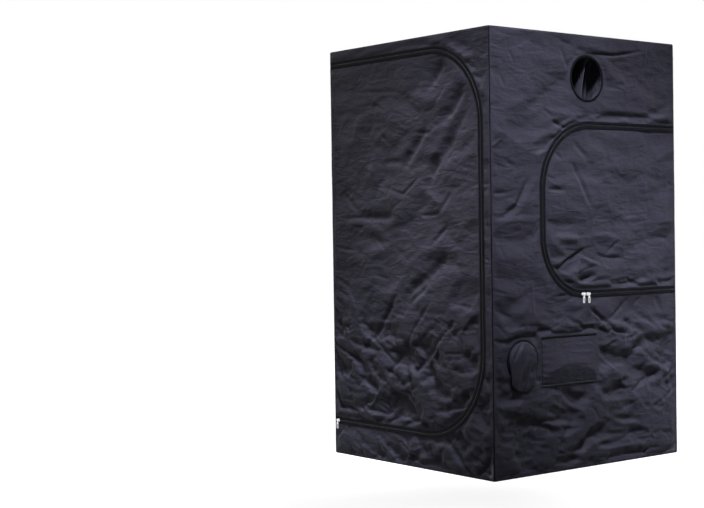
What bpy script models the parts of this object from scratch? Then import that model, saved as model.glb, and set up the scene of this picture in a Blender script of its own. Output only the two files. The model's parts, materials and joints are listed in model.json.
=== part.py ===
"""Indoor grow tent: a fabric cover with a zipped door, a zipped side window, two duct ports and a
flapped vent, over a push-fit frame of steel tubes with two sliding hanging bars.

Metres, +Z up. The origin is on the ground, in the middle of the tent. The front, with the door,
faces -Y. The service side, with the window, the ports and the vent, faces +X.
Each wall is drawn in its own face coordinates: u runs to the right as seen from outside,
v runs up from the ground and w points out of the tent.
"""
import math

import bmesh
import bpy
import numpy as np
from mathutils import Matrix, Vector

# Overall size of the cover
WIDTH = 1.2
DEPTH = 1.2
HEIGHT = 2.0

# Clearances
FIT = 0.0003
HINGE_PLAY = 0.0005
OVERRUN = 0.02

# Edges sharper than this stay sharp in the shading
SHARP_ANGLE = math.radians(40)

# Cover cloth, its bound edges and its folds
CLOTH = 0.002
BINDING = 0.005
FOLD_DEPTH = 0.016
FOLD_MARGIN = 0.034
FOLD_RUN = 0.07
ZIP_MARGIN = 0.012
CLOTH_CELL = 0.085
FREE_WALL_CELL = 0.15
ROOF_SAG = 0.014
ROOF_MARGIN = 0.07

# Frame tubes and the three-way corner connectors
TUBE_RADIUS = 0.0095
TUBE_WALL = 0.0009
SWAGE_LENGTH = 0.05
SWAGE_LEAD = 0.006
CONNECTOR_WALL = 0.0032
CONNECTOR_ARM = 0.058
CONNECTOR_SEAT = 0.014
CONNECTOR_WEB = 0.034
CONNECTOR_WEB_THICKNESS = 0.004
ROUND_SIDES = 12

# Hanging bars, which hook over the roof rails and slide along them
BAR_RADIUS = 0.008
BAR_DROP = 0.036
BAR_PLACE = 0.2
HOOK_WALL = 0.0024
HOOK_WIDTH = 0.02
HOOK_STEM = 0.006
HOOK_BLOCK_LENGTH = 0.022
HOOK_BLOCK_WALL = 0.003
HOOK_SOCKET = 0.017
HOOK_LIP_ANGLE = math.radians(-35)
HOOK_ARC_STEPS = 9

# Zips: two coil halves on two tapes
TAPE_HALF = 0.018
CHAIN_GAP_HALF = 0.0012
CHAIN_HALF = 0.004
CHAIN_FRONT = 0.0008

# Door zip on the front face
DOOR_TOP_MARGIN = 0.068
DOOR_FREE_MARGIN = 0.065
DOOR_BOTTOM = 0.165
DOOR_TOP_RADIUS = 0.35
DOOR_BOTTOM_RADIUS = 0.4
DOOR_ARC_STEPS = 9

# Window zip on the service side
WINDOW_FREE_MARGIN = 0.311
WINDOW_TOP_MARGIN = 0.415
WINDOW_BOTTOM = 0.803
WINDOW_TOP_RADIUS = 0.3
WINDOW_BOTTOM_RADIUS = 0.27
WINDOW_ARC_STEPS = 12

# Zip sliders
SLIDER_LENGTH = 0.026
SLIDER_WIDTH = 0.0148
SLIDER_PLATE = 0.0016
SLIDER_RUNNING_GAP = 0.0006
SLIDER_FLANGE = 0.0011
SLIDER_FLANGE_LIFT = 0.0004
SLIDER_POST = 0.001
SLIDER_POST_LENGTH = 0.007
SLIDER_POST_AHEAD = 0.0045
SLIDER_BACK_LENGTH = 0.022
SLIDER_BRIDGE_RADIUS = 0.0011
SLIDER_BRIDGE_LENGTH = 0.015
SLIDER_BRIDGE_TOP = 0.009
SLIDER_BRIDGE_HEIGHT = 0.0034
SLIDER_END_GAP = 0.006
DOOR_SLIDER_PLACE = 0.022
SLIDER_OUTLINE_SHARES = (
    (-0.5, 0.26), (-0.44, 0.36), (0.06, 0.5), (0.38, 0.5), (0.5, 0.28),
    (0.5, -0.28), (0.38, -0.5), (0.06, -0.5), (-0.44, -0.36), (-0.5, -0.26),
)

# Pull tabs
PULL_LENGTH = 0.042
PULL_WIDTH = 0.0125
PULL_NECK = 0.007
PULL_THICKNESS = 0.0018
PULL_EYE_WALL = 0.0011
PULL_SLOT_LENGTH = 0.02
PULL_SLOT_WIDTH = 0.0055
PULL_SLOT_TIP = 0.004
PULL_ARC_STEPS = 5

# Duct ports on the service side: an upper one whose sleeve is pushed in, a lower one that droops
TOP_PORT_OFFSET = 0.0
TOP_PORT_DROP = 0.2
TOP_PORT_RADIUS = 0.098
TOP_SLEEVE_LENGTH = 0.16
TOP_SLEEVE_SAG = 0.028
LOW_PORT_MARGIN = 0.176
LOW_PORT_RISE = 0.52
LOW_PORT_RADIUS = 0.085
LOW_SLEEVE_REACH = 0.052
LOW_SLEEVE_DROOP = 0.15
LOW_SLEEVE_SWAY = 0.03
PORT_COLLAR_WIDTH = 0.011
PORT_COLLAR_LIP = 0.0015
PORT_COLLAR_THICKNESS = 0.0025
SLEEVE_CLOTH = 0.0014
SLEEVE_RINGS = 6
PORT_SIDES = 20
PLEATS = 4

# Vent low on the service side: a net behind an opening, under a flap that folds down
VENT_MARGIN = 0.291
VENT_BOTTOM = 0.392
FLAP_WIDTH = 0.35
FLAP_HEIGHT = 0.228
FLAP_CLOTH = 0.0016
FLAP_LAP = 0.034
HEM_HEIGHT = 0.012
STRIP_HEIGHT = 0.022
STRIP_THICKNESS = 0.0008
STRIP_INSET = 0.006
NET_THICKNESS = 0.0012
NET_LAP = 0.014
NET_STRAND = 0.005
NET_COLUMNS = 9
NET_ROWS = 5

# Loose spill tray on the floor
TRAY_HEIGHT = 0.05
TRAY_CLOTH = 0.0015
TRAY_PLAY = 0.003
TRAY_CORNER = 0.045
TRAY_CORNER_STEPS = 5

# Main folds: start u, start v, end u, end v, half width and depth, as shares of the face height
# for the width and of FOLD_DEPTH for the depth; u and v are shares of the face's width and height
FRONT_FOLD_SHARES = (
    (0.06, 0.93, 0.40, 0.70, 0.030, 0.55),
    (0.86, 0.86, 0.52, 0.62, 0.032, 0.60),
    (0.10, 0.30, 0.52, 0.48, 0.034, 0.70),
    (0.88, 0.24, 0.55, 0.42, 0.034, 0.80),
    (0.05, 0.17, 0.62, 0.22, 0.036, 0.95),
    (0.30, 0.12, 0.86, 0.30, 0.034, 0.80),
    (0.16, 0.55, 0.34, 0.86, 0.030, 0.40),
    (0.70, 0.50, 0.62, 0.80, 0.030, 0.40),
    (0.10, 0.045, 0.92, 0.05, 0.026, 0.70),
)
SIDE_FOLD_SHARES = (
    (0.04, 0.90, 0.34, 0.80, 0.028, 0.60),
    (0.96, 0.92, 0.66, 0.84, 0.028, 0.60),
    (0.07, 0.72, 0.20, 0.44, 0.030, 0.55),
    (0.20, 0.62, 0.12, 0.36, 0.030, 0.50),
    (0.64, 0.37, 0.95, 0.24, 0.034, 0.85),
    (0.60, 0.22, 0.96, 0.36, 0.032, 0.75),
    (0.05, 0.12, 0.58, 0.16, 0.034, 1.00),
    (0.30, 0.06, 0.95, 0.12, 0.034, 1.00),
    (0.90, 0.46, 0.58, 0.70, 0.034, 0.55),
    (0.45, 0.70, 0.86, 0.74, 0.030, 0.40),
)
FREE_FOLD_SHARES = (
    (0.08, 0.92, 0.50, 0.60, 0.045, 0.60),
    (0.92, 0.90, 0.55, 0.62, 0.045, 0.60),
    (0.10, 0.14, 0.70, 0.26, 0.045, 1.00),
    (0.92, 0.12, 0.45, 0.34, 0.045, 0.90),
    (0.30, 0.40, 0.62, 0.55, 0.045, 0.50),
)

# Sizes that follow from the ones above
CONNECTOR_RADIUS = TUBE_RADIUS + FIT + CONNECTOR_WALL
FRAME_INSET = CLOTH + FIT + CONNECTOR_RADIUS
FRAME_X = WIDTH / 2 - FRAME_INSET
FRAME_Y = DEPTH / 2 - FRAME_INSET
FRAME_LOW = FRAME_INSET
FRAME_HIGH = HEIGHT - FRAME_INSET
EDGE = BINDING + FIT
FRONT_EDGE = WIDTH / 2 - EDGE
SIDE_EDGE = DEPTH / 2 - EDGE
CUTTER_DEPTH = FOLD_DEPTH + CLOTH + OVERRUN
SLIDER_FLOOR = CHAIN_FRONT + SLIDER_RUNNING_GAP
SLIDER_TOP = SLIDER_FLOOR + SLIDER_PLATE
BRIDGE_AXIS = SLIDER_TOP + SLIDER_BRIDGE_HEIGHT


class ZipOutline:
    """The D-shaped line of a zip, which starts and ends on the panel's hinge edge."""

    def __init__(self, hinge, free, bottom, top, top_radius, bottom_radius, arc_steps):
        limit = min(top - bottom, abs(free - hinge)) / 2 - TAPE_HALF
        self.hinge = hinge
        self.free = free
        self.bottom = bottom
        self.top = top
        self.top_radius = min(top_radius, limit)
        self.bottom_radius = min(bottom_radius, limit)
        self.arc_steps = arc_steps
        self.side = 1 if free > hinge else -1

    def arc(self, height, radius, offset, start, end):
        """Points of one round corner, seen from its centre, moved out by an offset."""
        centre = self.free - self.side * radius
        angles = np.linspace(start, end, self.arc_steps + 1)
        return [(centre + self.side * (radius + offset) * math.cos(a),
                 height + (radius + offset) * math.sin(a)) for a in angles]

    def points(self, offset=0.0, hinge=None):
        """The line from the hinge edge's top, round the free side, to the hinge edge's bottom."""
        start = self.hinge if hinge is None else hinge
        quarter = math.pi / 2
        upper = self.arc(self.top - self.top_radius, self.top_radius, offset, quarter, 0)
        lower = self.arc(self.bottom + self.bottom_radius, self.bottom_radius, offset, 0, -quarter)
        return [(start, self.top + offset)] + upper + lower + [(start, self.bottom - offset)]

    def bottom_centre(self):
        """Centre of the lower round corner."""
        return self.free - self.side * self.bottom_radius, self.bottom + self.bottom_radius


DOOR_ZIP = ZipOutline(-FRONT_EDGE, WIDTH / 2 - DOOR_FREE_MARGIN, DOOR_BOTTOM,
                      HEIGHT - DOOR_TOP_MARGIN, DOOR_TOP_RADIUS, DOOR_BOTTOM_RADIUS, DOOR_ARC_STEPS)
WINDOW_ZIP = ZipOutline(SIDE_EDGE, WINDOW_FREE_MARGIN - DEPTH / 2, WINDOW_BOTTOM,
                        HEIGHT - WINDOW_TOP_MARGIN, WINDOW_TOP_RADIUS, WINDOW_BOTTOM_RADIUS,
                        WINDOW_ARC_STEPS)
TOP_PORT = (TOP_PORT_OFFSET, HEIGHT - TOP_PORT_DROP)
LOW_PORT = (LOW_PORT_MARGIN - DEPTH / 2, LOW_PORT_RISE)
FLAP_LEFT = VENT_MARGIN - DEPTH / 2
FLAP_RIGHT = FLAP_LEFT + FLAP_WIDTH
HEM_TOP = VENT_BOTTOM + HEM_HEIGHT
FLAP_TOP = VENT_BOTTOM + FLAP_HEIGHT
HOOK_STRIP_BACK = FIT + STRIP_THICKNESS + FIT
FLAP_BACK = HOOK_STRIP_BACK + STRIP_THICKNESS + FIT
FLAP_FRONT = FLAP_BACK + FLAP_CLOTH

# Faces of the tent: where their own coordinates lie in the world
QUARTER_TURN = math.pi / 2
FRONT_FACE = Matrix.Translation((0, -DEPTH / 2, 0)) @ Matrix.Rotation(QUARTER_TURN, 4, "X")
SIDE_FACE = (Matrix.Translation((WIDTH / 2, 0, 0)) @ Matrix.Rotation(QUARTER_TURN, 4, "Z")
             @ Matrix.Rotation(QUARTER_TURN, 4, "X"))
BACK_FACE = (Matrix.Translation((0, DEPTH / 2, 0)) @ Matrix.Rotation(math.pi, 4, "Z")
             @ Matrix.Rotation(QUARTER_TURN, 4, "X"))
LEFT_FACE = (Matrix.Translation((-WIDTH / 2, 0, 0)) @ Matrix.Rotation(-QUARTER_TURN, 4, "Z")
             @ Matrix.Rotation(QUARTER_TURN, 4, "X"))
ROOF_FACE = Matrix.Translation((0, 0, HEIGHT))


# Scene, collections and materials

def clear_scene():
    """Remove every object that the new file starts with."""
    for item in list(bpy.data.objects):
        bpy.data.objects.remove(item)


def make_collection(name):
    """A collection under the scene's own."""
    collection = bpy.data.collections.new(name)
    bpy.context.scene.collection.children.link(collection)
    return collection


def make_material(name, colour, roughness, metallic=0.0):
    """A Principled material."""
    made = bpy.data.materials.new(name)
    made.use_nodes = True
    shader = made.node_tree.nodes["Principled BSDF"]
    shader.inputs["Base Color"].default_value = (*colour, 1.0)
    shader.inputs["Roughness"].default_value = roughness
    shader.inputs["Metallic"].default_value = metallic
    return made


clear_scene()
PARTS = make_collection("indoor_grow_tent")
CUTTERS = make_collection("cutters")
WALL_CLOTH = make_material("wall_cloth", (0.030, 0.029, 0.038), 0.62)
BINDING_TAPE = make_material("binding_tape", (0.012, 0.012, 0.014), 0.75)
ZIP_TAPE = make_material("zip_tape", (0.016, 0.016, 0.019), 0.7)
STEEL_TUBE = make_material("steel_tube", (0.55, 0.56, 0.58), 0.35, 1.0)
BLACK_PLASTIC = make_material("black_plastic", (0.02, 0.02, 0.022), 0.5)
ZINC = make_material("zinc", (0.72, 0.73, 0.75), 0.28, 1.0)
NET_YARN = make_material("net_yarn", (0.02, 0.02, 0.02), 0.8)
TRAY_CLOTH_LOOK = make_material("tray_cloth", (0.6, 0.61, 0.63), 0.35, 0.6)


# Shapes

def place(name, mesh, matrix, look, parent=None, collection=None):
    """Add a mesh as a named object at a place in the world, under an empty if one is given."""
    mesh.name = name
    mesh.materials.clear()
    mesh.materials.append(look)
    item = bpy.data.objects.new(name, mesh)
    (collection or PARTS).objects.link(item)
    if parent is not None:
        item.parent = parent[0]
        item.matrix_parent_inverse = parent[1].inverted()
    item.matrix_basis = matrix
    return item


def add_empty(name, matrix, parent=None):
    """An empty on a joint's axis, for the moving pieces to hang from."""
    empty = bpy.data.objects.new(name, None)
    empty.empty_display_size = EDGE
    PARTS.objects.link(empty)
    if parent is not None:
        empty.parent = parent[0]
        empty.matrix_parent_inverse = parent[1].inverted()
    empty.matrix_basis = matrix
    return empty, matrix


def tidy_mesh(mesh):
    """Weld loose caps and turn every face outwards."""
    work = bmesh.new()
    work.from_mesh(mesh)
    bmesh.ops.remove_doubles(work, verts=work.verts, dist=FIT / 30)
    bmesh.ops.recalc_face_normals(work, faces=work.faces)
    work.to_mesh(mesh)
    work.free()
    return mesh


def evaluated_mesh(item):
    """The mesh that an object shows with its modifiers, after which the object is removed."""
    bpy.context.view_layer.update()
    graph = bpy.context.evaluated_depsgraph_get()
    mesh = bpy.data.meshes.new_from_object(item.evaluated_get(graph))
    bpy.data.objects.remove(item)
    return tidy_mesh(mesh)


def flat_curve(splines, closed=True):
    """A 2D curve with straight stretches through the points of each spline."""
    curve = bpy.data.curves.new("outline", "CURVE")
    curve.dimensions = "2D"
    for points in splines:
        spline = curve.splines.new("POLY")
        spline.points.add(len(points) - 1)
        for point, (x, y) in zip(spline.points, points):
            point.co = (x, y, 0, 1)
        spline.use_cyclic_u = closed
    item = bpy.data.objects.new("outline", curve)
    CUTTERS.objects.link(item)
    return item


def plate(outline, low, high, holes=()):
    """A flat outline, with holes if any, given its thickness between two heights."""
    item = flat_curve([outline, *holes])
    item.data.fill_mode = "BOTH"
    item.data.extrude = (high - low) / 2
    mesh = evaluated_mesh(item)
    mesh.transform(Matrix.Translation((0, 0, (high + low) / 2)))
    return mesh


def sweep(path, profile):
    """A closed profile carried along a flat path; its x lies to the right of the way it goes."""
    section = flat_curve([profile])
    section.data.fill_mode = "NONE"
    item = flat_curve([path], closed=False)
    item.data.bevel_mode = "OBJECT"
    item.data.bevel_object = section
    item.data.use_fill_caps = True
    item.data.fill_mode = "BOTH"
    mesh = evaluated_mesh(item)
    bpy.data.objects.remove(section)
    return mesh


def wire(points, radius):
    """A round wire through points in space, with closed ends."""
    curve = bpy.data.curves.new("wire", "CURVE")
    curve.dimensions = "3D"
    spline = curve.splines.new("POLY")
    spline.points.add(len(points) - 1)
    for point, place_xyz in zip(spline.points, points):
        point.co = (*place_xyz, 1)
    curve.bevel_depth = radius
    curve.bevel_resolution = 1
    curve.use_fill_caps = True
    item = bpy.data.objects.new("wire", curve)
    CUTTERS.objects.link(item)
    return evaluated_mesh(item)


def box(low, high):
    """A box between two corners."""
    work = bmesh.new()
    bmesh.ops.create_cube(work, size=1)
    size = Vector(high) - Vector(low)
    middle = (Vector(high) + Vector(low)) / 2
    bmesh.ops.scale(work, vec=size, verts=work.verts)
    bmesh.ops.translate(work, vec=middle, verts=work.verts)
    mesh = bpy.data.meshes.new("box")
    work.to_mesh(mesh)
    work.free()
    return mesh


def cylinder(radius, low, high, sides=ROUND_SIDES, turn=None):
    """A cylinder on the local Z axis between two heights, turned if a rotation is given."""
    work = bmesh.new()
    bmesh.ops.create_cone(work, cap_ends=True, segments=sides, radius1=radius, radius2=radius,
                          depth=high - low)
    bmesh.ops.translate(work, vec=(0, 0, (high + low) / 2), verts=work.verts)
    if turn is not None:
        bmesh.ops.transform(work, matrix=turn, verts=work.verts)
    mesh = bpy.data.meshes.new("cylinder")
    work.to_mesh(mesh)
    work.free()
    return mesh


def ball(radius):
    """A sphere at the origin, turned so that no edge of it lies along an axis."""
    work = bmesh.new()
    bmesh.ops.create_uvsphere(work, u_segments=ROUND_SIDES, v_segments=ROUND_SIDES // 2, radius=radius)
    slant = Vector((1, 1, 1)).rotation_difference(Vector((0, 0, 1))).to_matrix()
    bmesh.ops.rotate(work, matrix=slant.inverted(), verts=work.verts)
    mesh = bpy.data.meshes.new("ball")
    work.to_mesh(mesh)
    work.free()
    return mesh


def joined(meshes):
    """Solids that don't touch each other, as one mesh."""
    work = bmesh.new()
    for mesh in meshes:
        work.from_mesh(mesh)
    together = bpy.data.meshes.new("together")
    work.to_mesh(together)
    work.free()
    return together


def combine(base, steps):
    """Join meshes to a base, or cut them from it, one after another with exact Booleans."""
    body = bpy.data.objects.new("body", base)
    CUTTERS.objects.link(body)
    tools = []
    for operation, mesh in steps:
        tool = bpy.data.objects.new("tool", mesh)
        CUTTERS.objects.link(tool)
        tools.append(tool)
        step = body.modifiers.new("step", "BOOLEAN")
        step.operation = operation
        step.object = tool
    mesh = evaluated_mesh(body)
    for tool in tools:
        bpy.data.objects.remove(tool)
    return mesh


def add_turned(name, profile, matrix, look, parent=None, sides=ROUND_SIDES):
    """A turned piece: a closed profile of radius and height points with a Screw modifier."""
    mesh = bpy.data.meshes.new(name)
    count = len(profile)
    edges = [(i, (i + 1) % count) for i in range(count)]
    mesh.from_pydata([(radius, 0, height) for radius, height in profile], edges, [])
    item = place(name, mesh, matrix, look, parent)
    turn = item.modifiers.new("turn", "SCREW")
    turn.axis = "Z"
    turn.angle = 2 * math.pi
    turn.steps = sides
    turn.render_steps = sides
    turn.use_merge_vertices = False
    turn.use_smooth_shade = True
    return item


def soften(item):
    """Smooth shading that keeps sharp edges sharp."""
    item.data.shade_smooth()
    item.data.set_sharp_from_angle(angle=SHARP_ANGLE)


def cutter(name, mesh, matrix):
    """A named cutter that stays in the file as a wire shape."""
    item = place(name, mesh, matrix, WALL_CLOTH, collection=CUTTERS)
    item.hide_render = True
    item.display_type = "WIRE"
    return item


def apply_cut(item, tool, operation="DIFFERENCE"):
    """Cut an object by a named cutter with a live Boolean."""
    step = item.modifiers.new(tool.name, "BOOLEAN")
    step.operation = operation
    step.object = tool


# Cloth

def smooth_step(value, start, run):
    """0 below start, 1 past start plus run, and a soft slope between."""
    share = min(max((value - start) / run, 0.0), 1.0)
    return share * share * (3 - 2 * share)


def segment_distance(u, v, start, end):
    """Distance from a point to a straight stretch."""
    along_u = end[0] - start[0]
    along_v = end[1] - start[1]
    share = ((u - start[0]) * along_u + (v - start[1]) * along_v) / (along_u ** 2 + along_v ** 2)
    share = min(max(share, 0.0), 1.0)
    return math.hypot(u - start[0] - share * along_u, v - start[1] - share * along_v)


def line_distance(u, v, points):
    """Distance from a point to a line of straight stretches."""
    return min(segment_distance(u, v, a, b) for a, b in zip(points, points[1:]))


def fold_depth(u, v, width, folds):
    """Depth of the main folds at a point of a wall: round valleys along slanted lines."""
    depth = 0.0
    for start_u, start_v, end_u, end_v, half_width, share in folds:
        start = ((start_u - 1 / 2) * width, start_v * HEIGHT)
        end = ((end_u - 1 / 2) * width, end_v * HEIGHT)
        away = segment_distance(u, v, start, end) / (half_width * HEIGHT)
        depth += share * math.exp(-away * away)
    return FOLD_DEPTH * (1 - math.exp(-depth))


def edge_room(u, v, half_width):
    """Distance from a point of a wall to its nearest bound edge."""
    return min(half_width - abs(u), v, HEIGHT - v)


def front_relief(u, v):
    """How far the front wall and its door lie inside the face."""
    room = smooth_step(edge_room(u, v, WIDTH / 2), FOLD_MARGIN, FOLD_RUN)
    seam = line_distance(u, v, FRONT_ZIP_LINE) - TAPE_HALF
    room *= smooth_step(seam, ZIP_MARGIN, FOLD_RUN)
    return -room * fold_depth(u, v, WIDTH, FRONT_FOLD_SHARES)


def side_relief(u, v):
    """How far the service side and its window lie inside the face, flat round ports and vent."""
    room = smooth_step(edge_room(u, v, DEPTH / 2), FOLD_MARGIN, FOLD_RUN)
    seam = line_distance(u, v, SIDE_ZIP_LINE) - TAPE_HALF
    room *= smooth_step(seam, ZIP_MARGIN, FOLD_RUN)
    for (port_u, port_v), radius in ((TOP_PORT, TOP_PORT_RADIUS), (LOW_PORT, LOW_PORT_RADIUS)):
        ring = math.hypot(u - port_u, v - port_v) - radius - PORT_COLLAR_WIDTH
        room *= smooth_step(ring, ZIP_MARGIN, FOLD_RUN)
    beside = max(FLAP_LEFT - u, u - FLAP_RIGHT, VENT_BOTTOM - v, v - FLAP_TOP)
    room *= smooth_step(beside, ZIP_MARGIN, FOLD_RUN)
    return -room * fold_depth(u, v, DEPTH, SIDE_FOLD_SHARES)


def free_relief(width):
    """How far a plain wall of a given width lies inside its face."""
    def relief(u, v):
        room = smooth_step(edge_room(u, v, width / 2), FOLD_MARGIN, FOLD_RUN)
        return -room * fold_depth(u, v, width, FREE_FOLD_SHARES)
    return relief


def roof_relief(u, v):
    """How far the roof sags inside the frame."""
    room = min(WIDTH / 2 - abs(u), DEPTH / 2 - abs(v))
    across = math.cos(math.pi * u / WIDTH) * math.cos(math.pi * v / DEPTH)
    return -ROOF_SAG * across * smooth_step(room, ROOF_MARGIN, FOLD_RUN)


def grid_lines(low, high, cell, margin):
    """Places of a grid's lines: a flat margin at either end and even cells between."""
    count = max(2, round((high - low - 2 * margin) / cell))
    return [low, *np.linspace(low + margin, high - margin, count + 1), high]


def add_sheet(name, corners, relief, matrix, parent=None, cell=CLOTH_CELL, margin=FOLD_MARGIN):
    """A sheet of cover cloth: a grid given its folds, thickened inwards by a Solidify modifier."""
    lines_u = grid_lines(corners[0][0], corners[1][0], cell, margin - EDGE)
    lines_v = grid_lines(corners[0][1], corners[1][1], cell, margin - EDGE)
    cells_u = len(lines_u) - 1
    cells_v = len(lines_v) - 1
    work = bmesh.new()
    bmesh.ops.create_grid(work, x_segments=cells_u, y_segments=cells_v, size=1 / 2)
    for vert in work.verts:
        u = lines_u[round((vert.co.x + 1 / 2) * cells_u)]
        v = lines_v[round((vert.co.y + 1 / 2) * cells_v)]
        vert.co = (u, v, relief(u, v))
    mesh = bpy.data.meshes.new(name)
    work.to_mesh(mesh)
    work.free()
    item = place(name, mesh, matrix, WALL_CLOTH, parent)
    thick = item.modifiers.new("cloth", "SOLIDIFY")
    thick.thickness = CLOTH
    thick.offset = -1
    item.data.shade_smooth()
    return item


FRONT_ZIP_LINE = DOOR_ZIP.points()
SIDE_ZIP_LINE = WINDOW_ZIP.points()


def zip_outline(zip_line, offset):
    """A zip's line, moved by an offset, that runs out past the hinge edge."""
    return zip_line.points(offset, hinge=zip_line.hinge - zip_line.side * OVERRUN)


def zip_cutter(name, zip_line, offset, face):
    """A thick solid inside a zip's line, moved by an offset."""
    return cutter(name, plate(zip_outline(zip_line, offset), -CUTTER_DEPTH, OVERRUN), face)


def add_zip_tape(name, zip_line, flap_side, face, parent=None):
    """One tape of a zip with its half of the coil, swept along the zip's line."""
    reach = CHAIN_GAP_HALF + CHAIN_HALF
    section = [
        (CHAIN_GAP_HALF, -CLOTH), (TAPE_HALF, -CLOTH), (TAPE_HALF, 0), (reach, 0),
        (reach, CHAIN_FRONT), (CHAIN_GAP_HALF, CHAIN_FRONT),
    ]
    way = zip_line.side if flap_side else -zip_line.side
    profile = [(way * away, height) for away, height in section]
    return place(name, sweep(zip_line.points(), profile), face, ZIP_TAPE, parent)


# Frame

def connector_mesh():
    """A moulded three-way corner: arms along +X, +Y and +Z with webs between, and blind sockets."""
    to_x = Matrix.Rotation(QUARTER_TURN, 4, "Y")
    to_y = Matrix.Rotation(-QUARTER_TURN, 4, "X")
    to_z = Matrix.Identity(4)
    socket = TUBE_RADIUS + FIT
    body = ball(CONNECTOR_RADIUS + FIT / 2)
    steps = []
    for turn in (to_x, to_y, to_z):
        steps.append(("UNION", cylinder(CONNECTOR_RADIUS, 0, CONNECTOR_ARM, turn=turn)))
    web = [(0, 0), (CONNECTOR_WEB, 0), (0, CONNECTOR_WEB)]
    half = CONNECTOR_WEB_THICKNESS / 2
    stand = Matrix.Rotation(QUARTER_TURN, 4, "X")
    across = Matrix.Rotation(-QUARTER_TURN, 4, "Y")
    for turn in (Matrix.Identity(4), stand, across):
        gusset = plate(web, -half, half)
        gusset.transform(turn)
        steps.append(("UNION", gusset))
    for turn in (to_x, to_y, to_z):
        reach = CONNECTOR_ARM + OVERRUN
        steps.append(("DIFFERENCE", cylinder(socket, CONNECTOR_SEAT, reach, turn=turn)))
    return combine(body, steps)


def mirrored(mesh, way_x, way_y, way_z):
    """A copy of a mesh turned to another corner, with its faces still outwards."""
    work = bmesh.new()
    work.from_mesh(mesh)
    bmesh.ops.scale(work, vec=(way_x, way_y, way_z), verts=work.verts)
    if way_x * way_y * way_z < 0:
        bmesh.ops.reverse_faces(work, faces=work.faces)
    copy = bpy.data.meshes.new("connector")
    work.to_mesh(copy)
    work.free()
    return copy


def add_connectors():
    """Eight corner connectors, each arm pointing along the frame."""
    pattern = connector_mesh()
    for level, height, up in (("floor", FRAME_LOW, 1), ("roof", FRAME_HIGH, -1)):
        for corner, way_x, way_y in CORNERS:
            mesh = mirrored(pattern, -way_x, -way_y, up)
            spot = Matrix.Translation((way_x * FRAME_X, way_y * FRAME_Y, height))
            soften(place(f"{level}_connector_{corner}", mesh, spot, BLACK_PLASTIC))


def add_tube(name, start, end, matrix, radius=TUBE_RADIUS, parent=None):
    """A plain steel tube between two points of its own axis."""
    inner = radius - TUBE_WALL
    profile = [(radius, end), (radius, start), (inner, start), (inner, end)]
    return add_turned(name, profile, matrix, STEEL_TUBE, parent)


def add_rails():
    """Floor and roof rails, each seated in two connectors."""
    seat = CONNECTOR_SEAT + FIT
    along_x = Matrix.Rotation(QUARTER_TURN, 4, "Y")
    along_y = Matrix.Rotation(-QUARTER_TURN, 4, "X")
    for level, height in (("floor", FRAME_LOW), ("roof", FRAME_HIGH)):
        for side, way in (("front", -1), ("back", 1)):
            half = FRAME_X - seat
            spot = Matrix.Translation((0, way * FRAME_Y, height)) @ along_x
            add_tube(f"{level}_rail_{side}", -half, half, spot)
        for side, way in (("left", -1), ("right", 1)):
            half = FRAME_Y - seat
            spot = Matrix.Translation((way * FRAME_X, 0, height)) @ along_y
            add_tube(f"{level}_rail_{side}", -half, half, spot)


def add_uprights():
    """Uprights in two lengths: the lower one's swaged end plugs into the upper one."""
    seat = CONNECTOR_SEAT + FIT
    joint = HEIGHT / 2
    bore = TUBE_RADIUS - TUBE_WALL
    plug = bore - FIT
    plug_bore = plug - TUBE_WALL
    low = FRAME_LOW + seat
    lower = [
        (plug_bore, joint + SWAGE_LENGTH), (plug, joint + SWAGE_LENGTH), (plug, joint),
        (TUBE_RADIUS, joint), (TUBE_RADIUS, low), (bore, low), (bore, joint - SWAGE_LEAD),
        (plug_bore, joint - SWAGE_LEAD / 2),
    ]
    for corner, way_x, way_y in CORNERS:
        spot = Matrix.Translation((way_x * FRAME_X, way_y * FRAME_Y, 0))
        add_turned(f"lower_upright_{corner}", lower, spot, STEEL_TUBE)
        add_tube(f"upper_upright_{corner}", joint + FIT, FRAME_HIGH - seat, spot)


def hook_mesh():
    """A moulded hook: a collar open below, over a rail along Y at the origin, a stem down its
    inner side at -X, and a block with a socket for the bar's end."""
    inner = TUBE_RADIUS + FIT
    outer = inner + HOOK_WALL
    angles = np.linspace(HOOK_LIP_ANGLE, math.pi, HOOK_ARC_STEPS + 1)
    over = [(outer * math.cos(a), outer * math.sin(a)) for a in angles]
    under = [(inner * math.cos(a), inner * math.sin(a)) for a in reversed(angles)]
    block_half = BAR_RADIUS + FIT + HOOK_BLOCK_WALL
    block_top = -BAR_DROP + block_half
    block_low = -BAR_DROP - block_half
    stem = inner + HOOK_STEM
    far = inner + HOOK_BLOCK_LENGTH
    body = over + [(-stem, -HOOK_STEM / 2), (-stem, block_top), (-far, block_top),
                   (-far, block_low), (-inner, block_low)] + under
    mesh = plate(body, -HOOK_WIDTH / 2, HOOK_WIDTH / 2)
    mesh.transform(Matrix.Rotation(QUARTER_TURN, 4, "X"))
    turn = Matrix.Translation((0, 0, -BAR_DROP)) @ Matrix.Rotation(-QUARTER_TURN, 4, "Y")
    socket = cylinder(BAR_RADIUS + FIT, far - HOOK_SOCKET, far + OVERRUN, turn=turn)
    return combine(mesh, [("DIFFERENCE", socket)])


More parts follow.
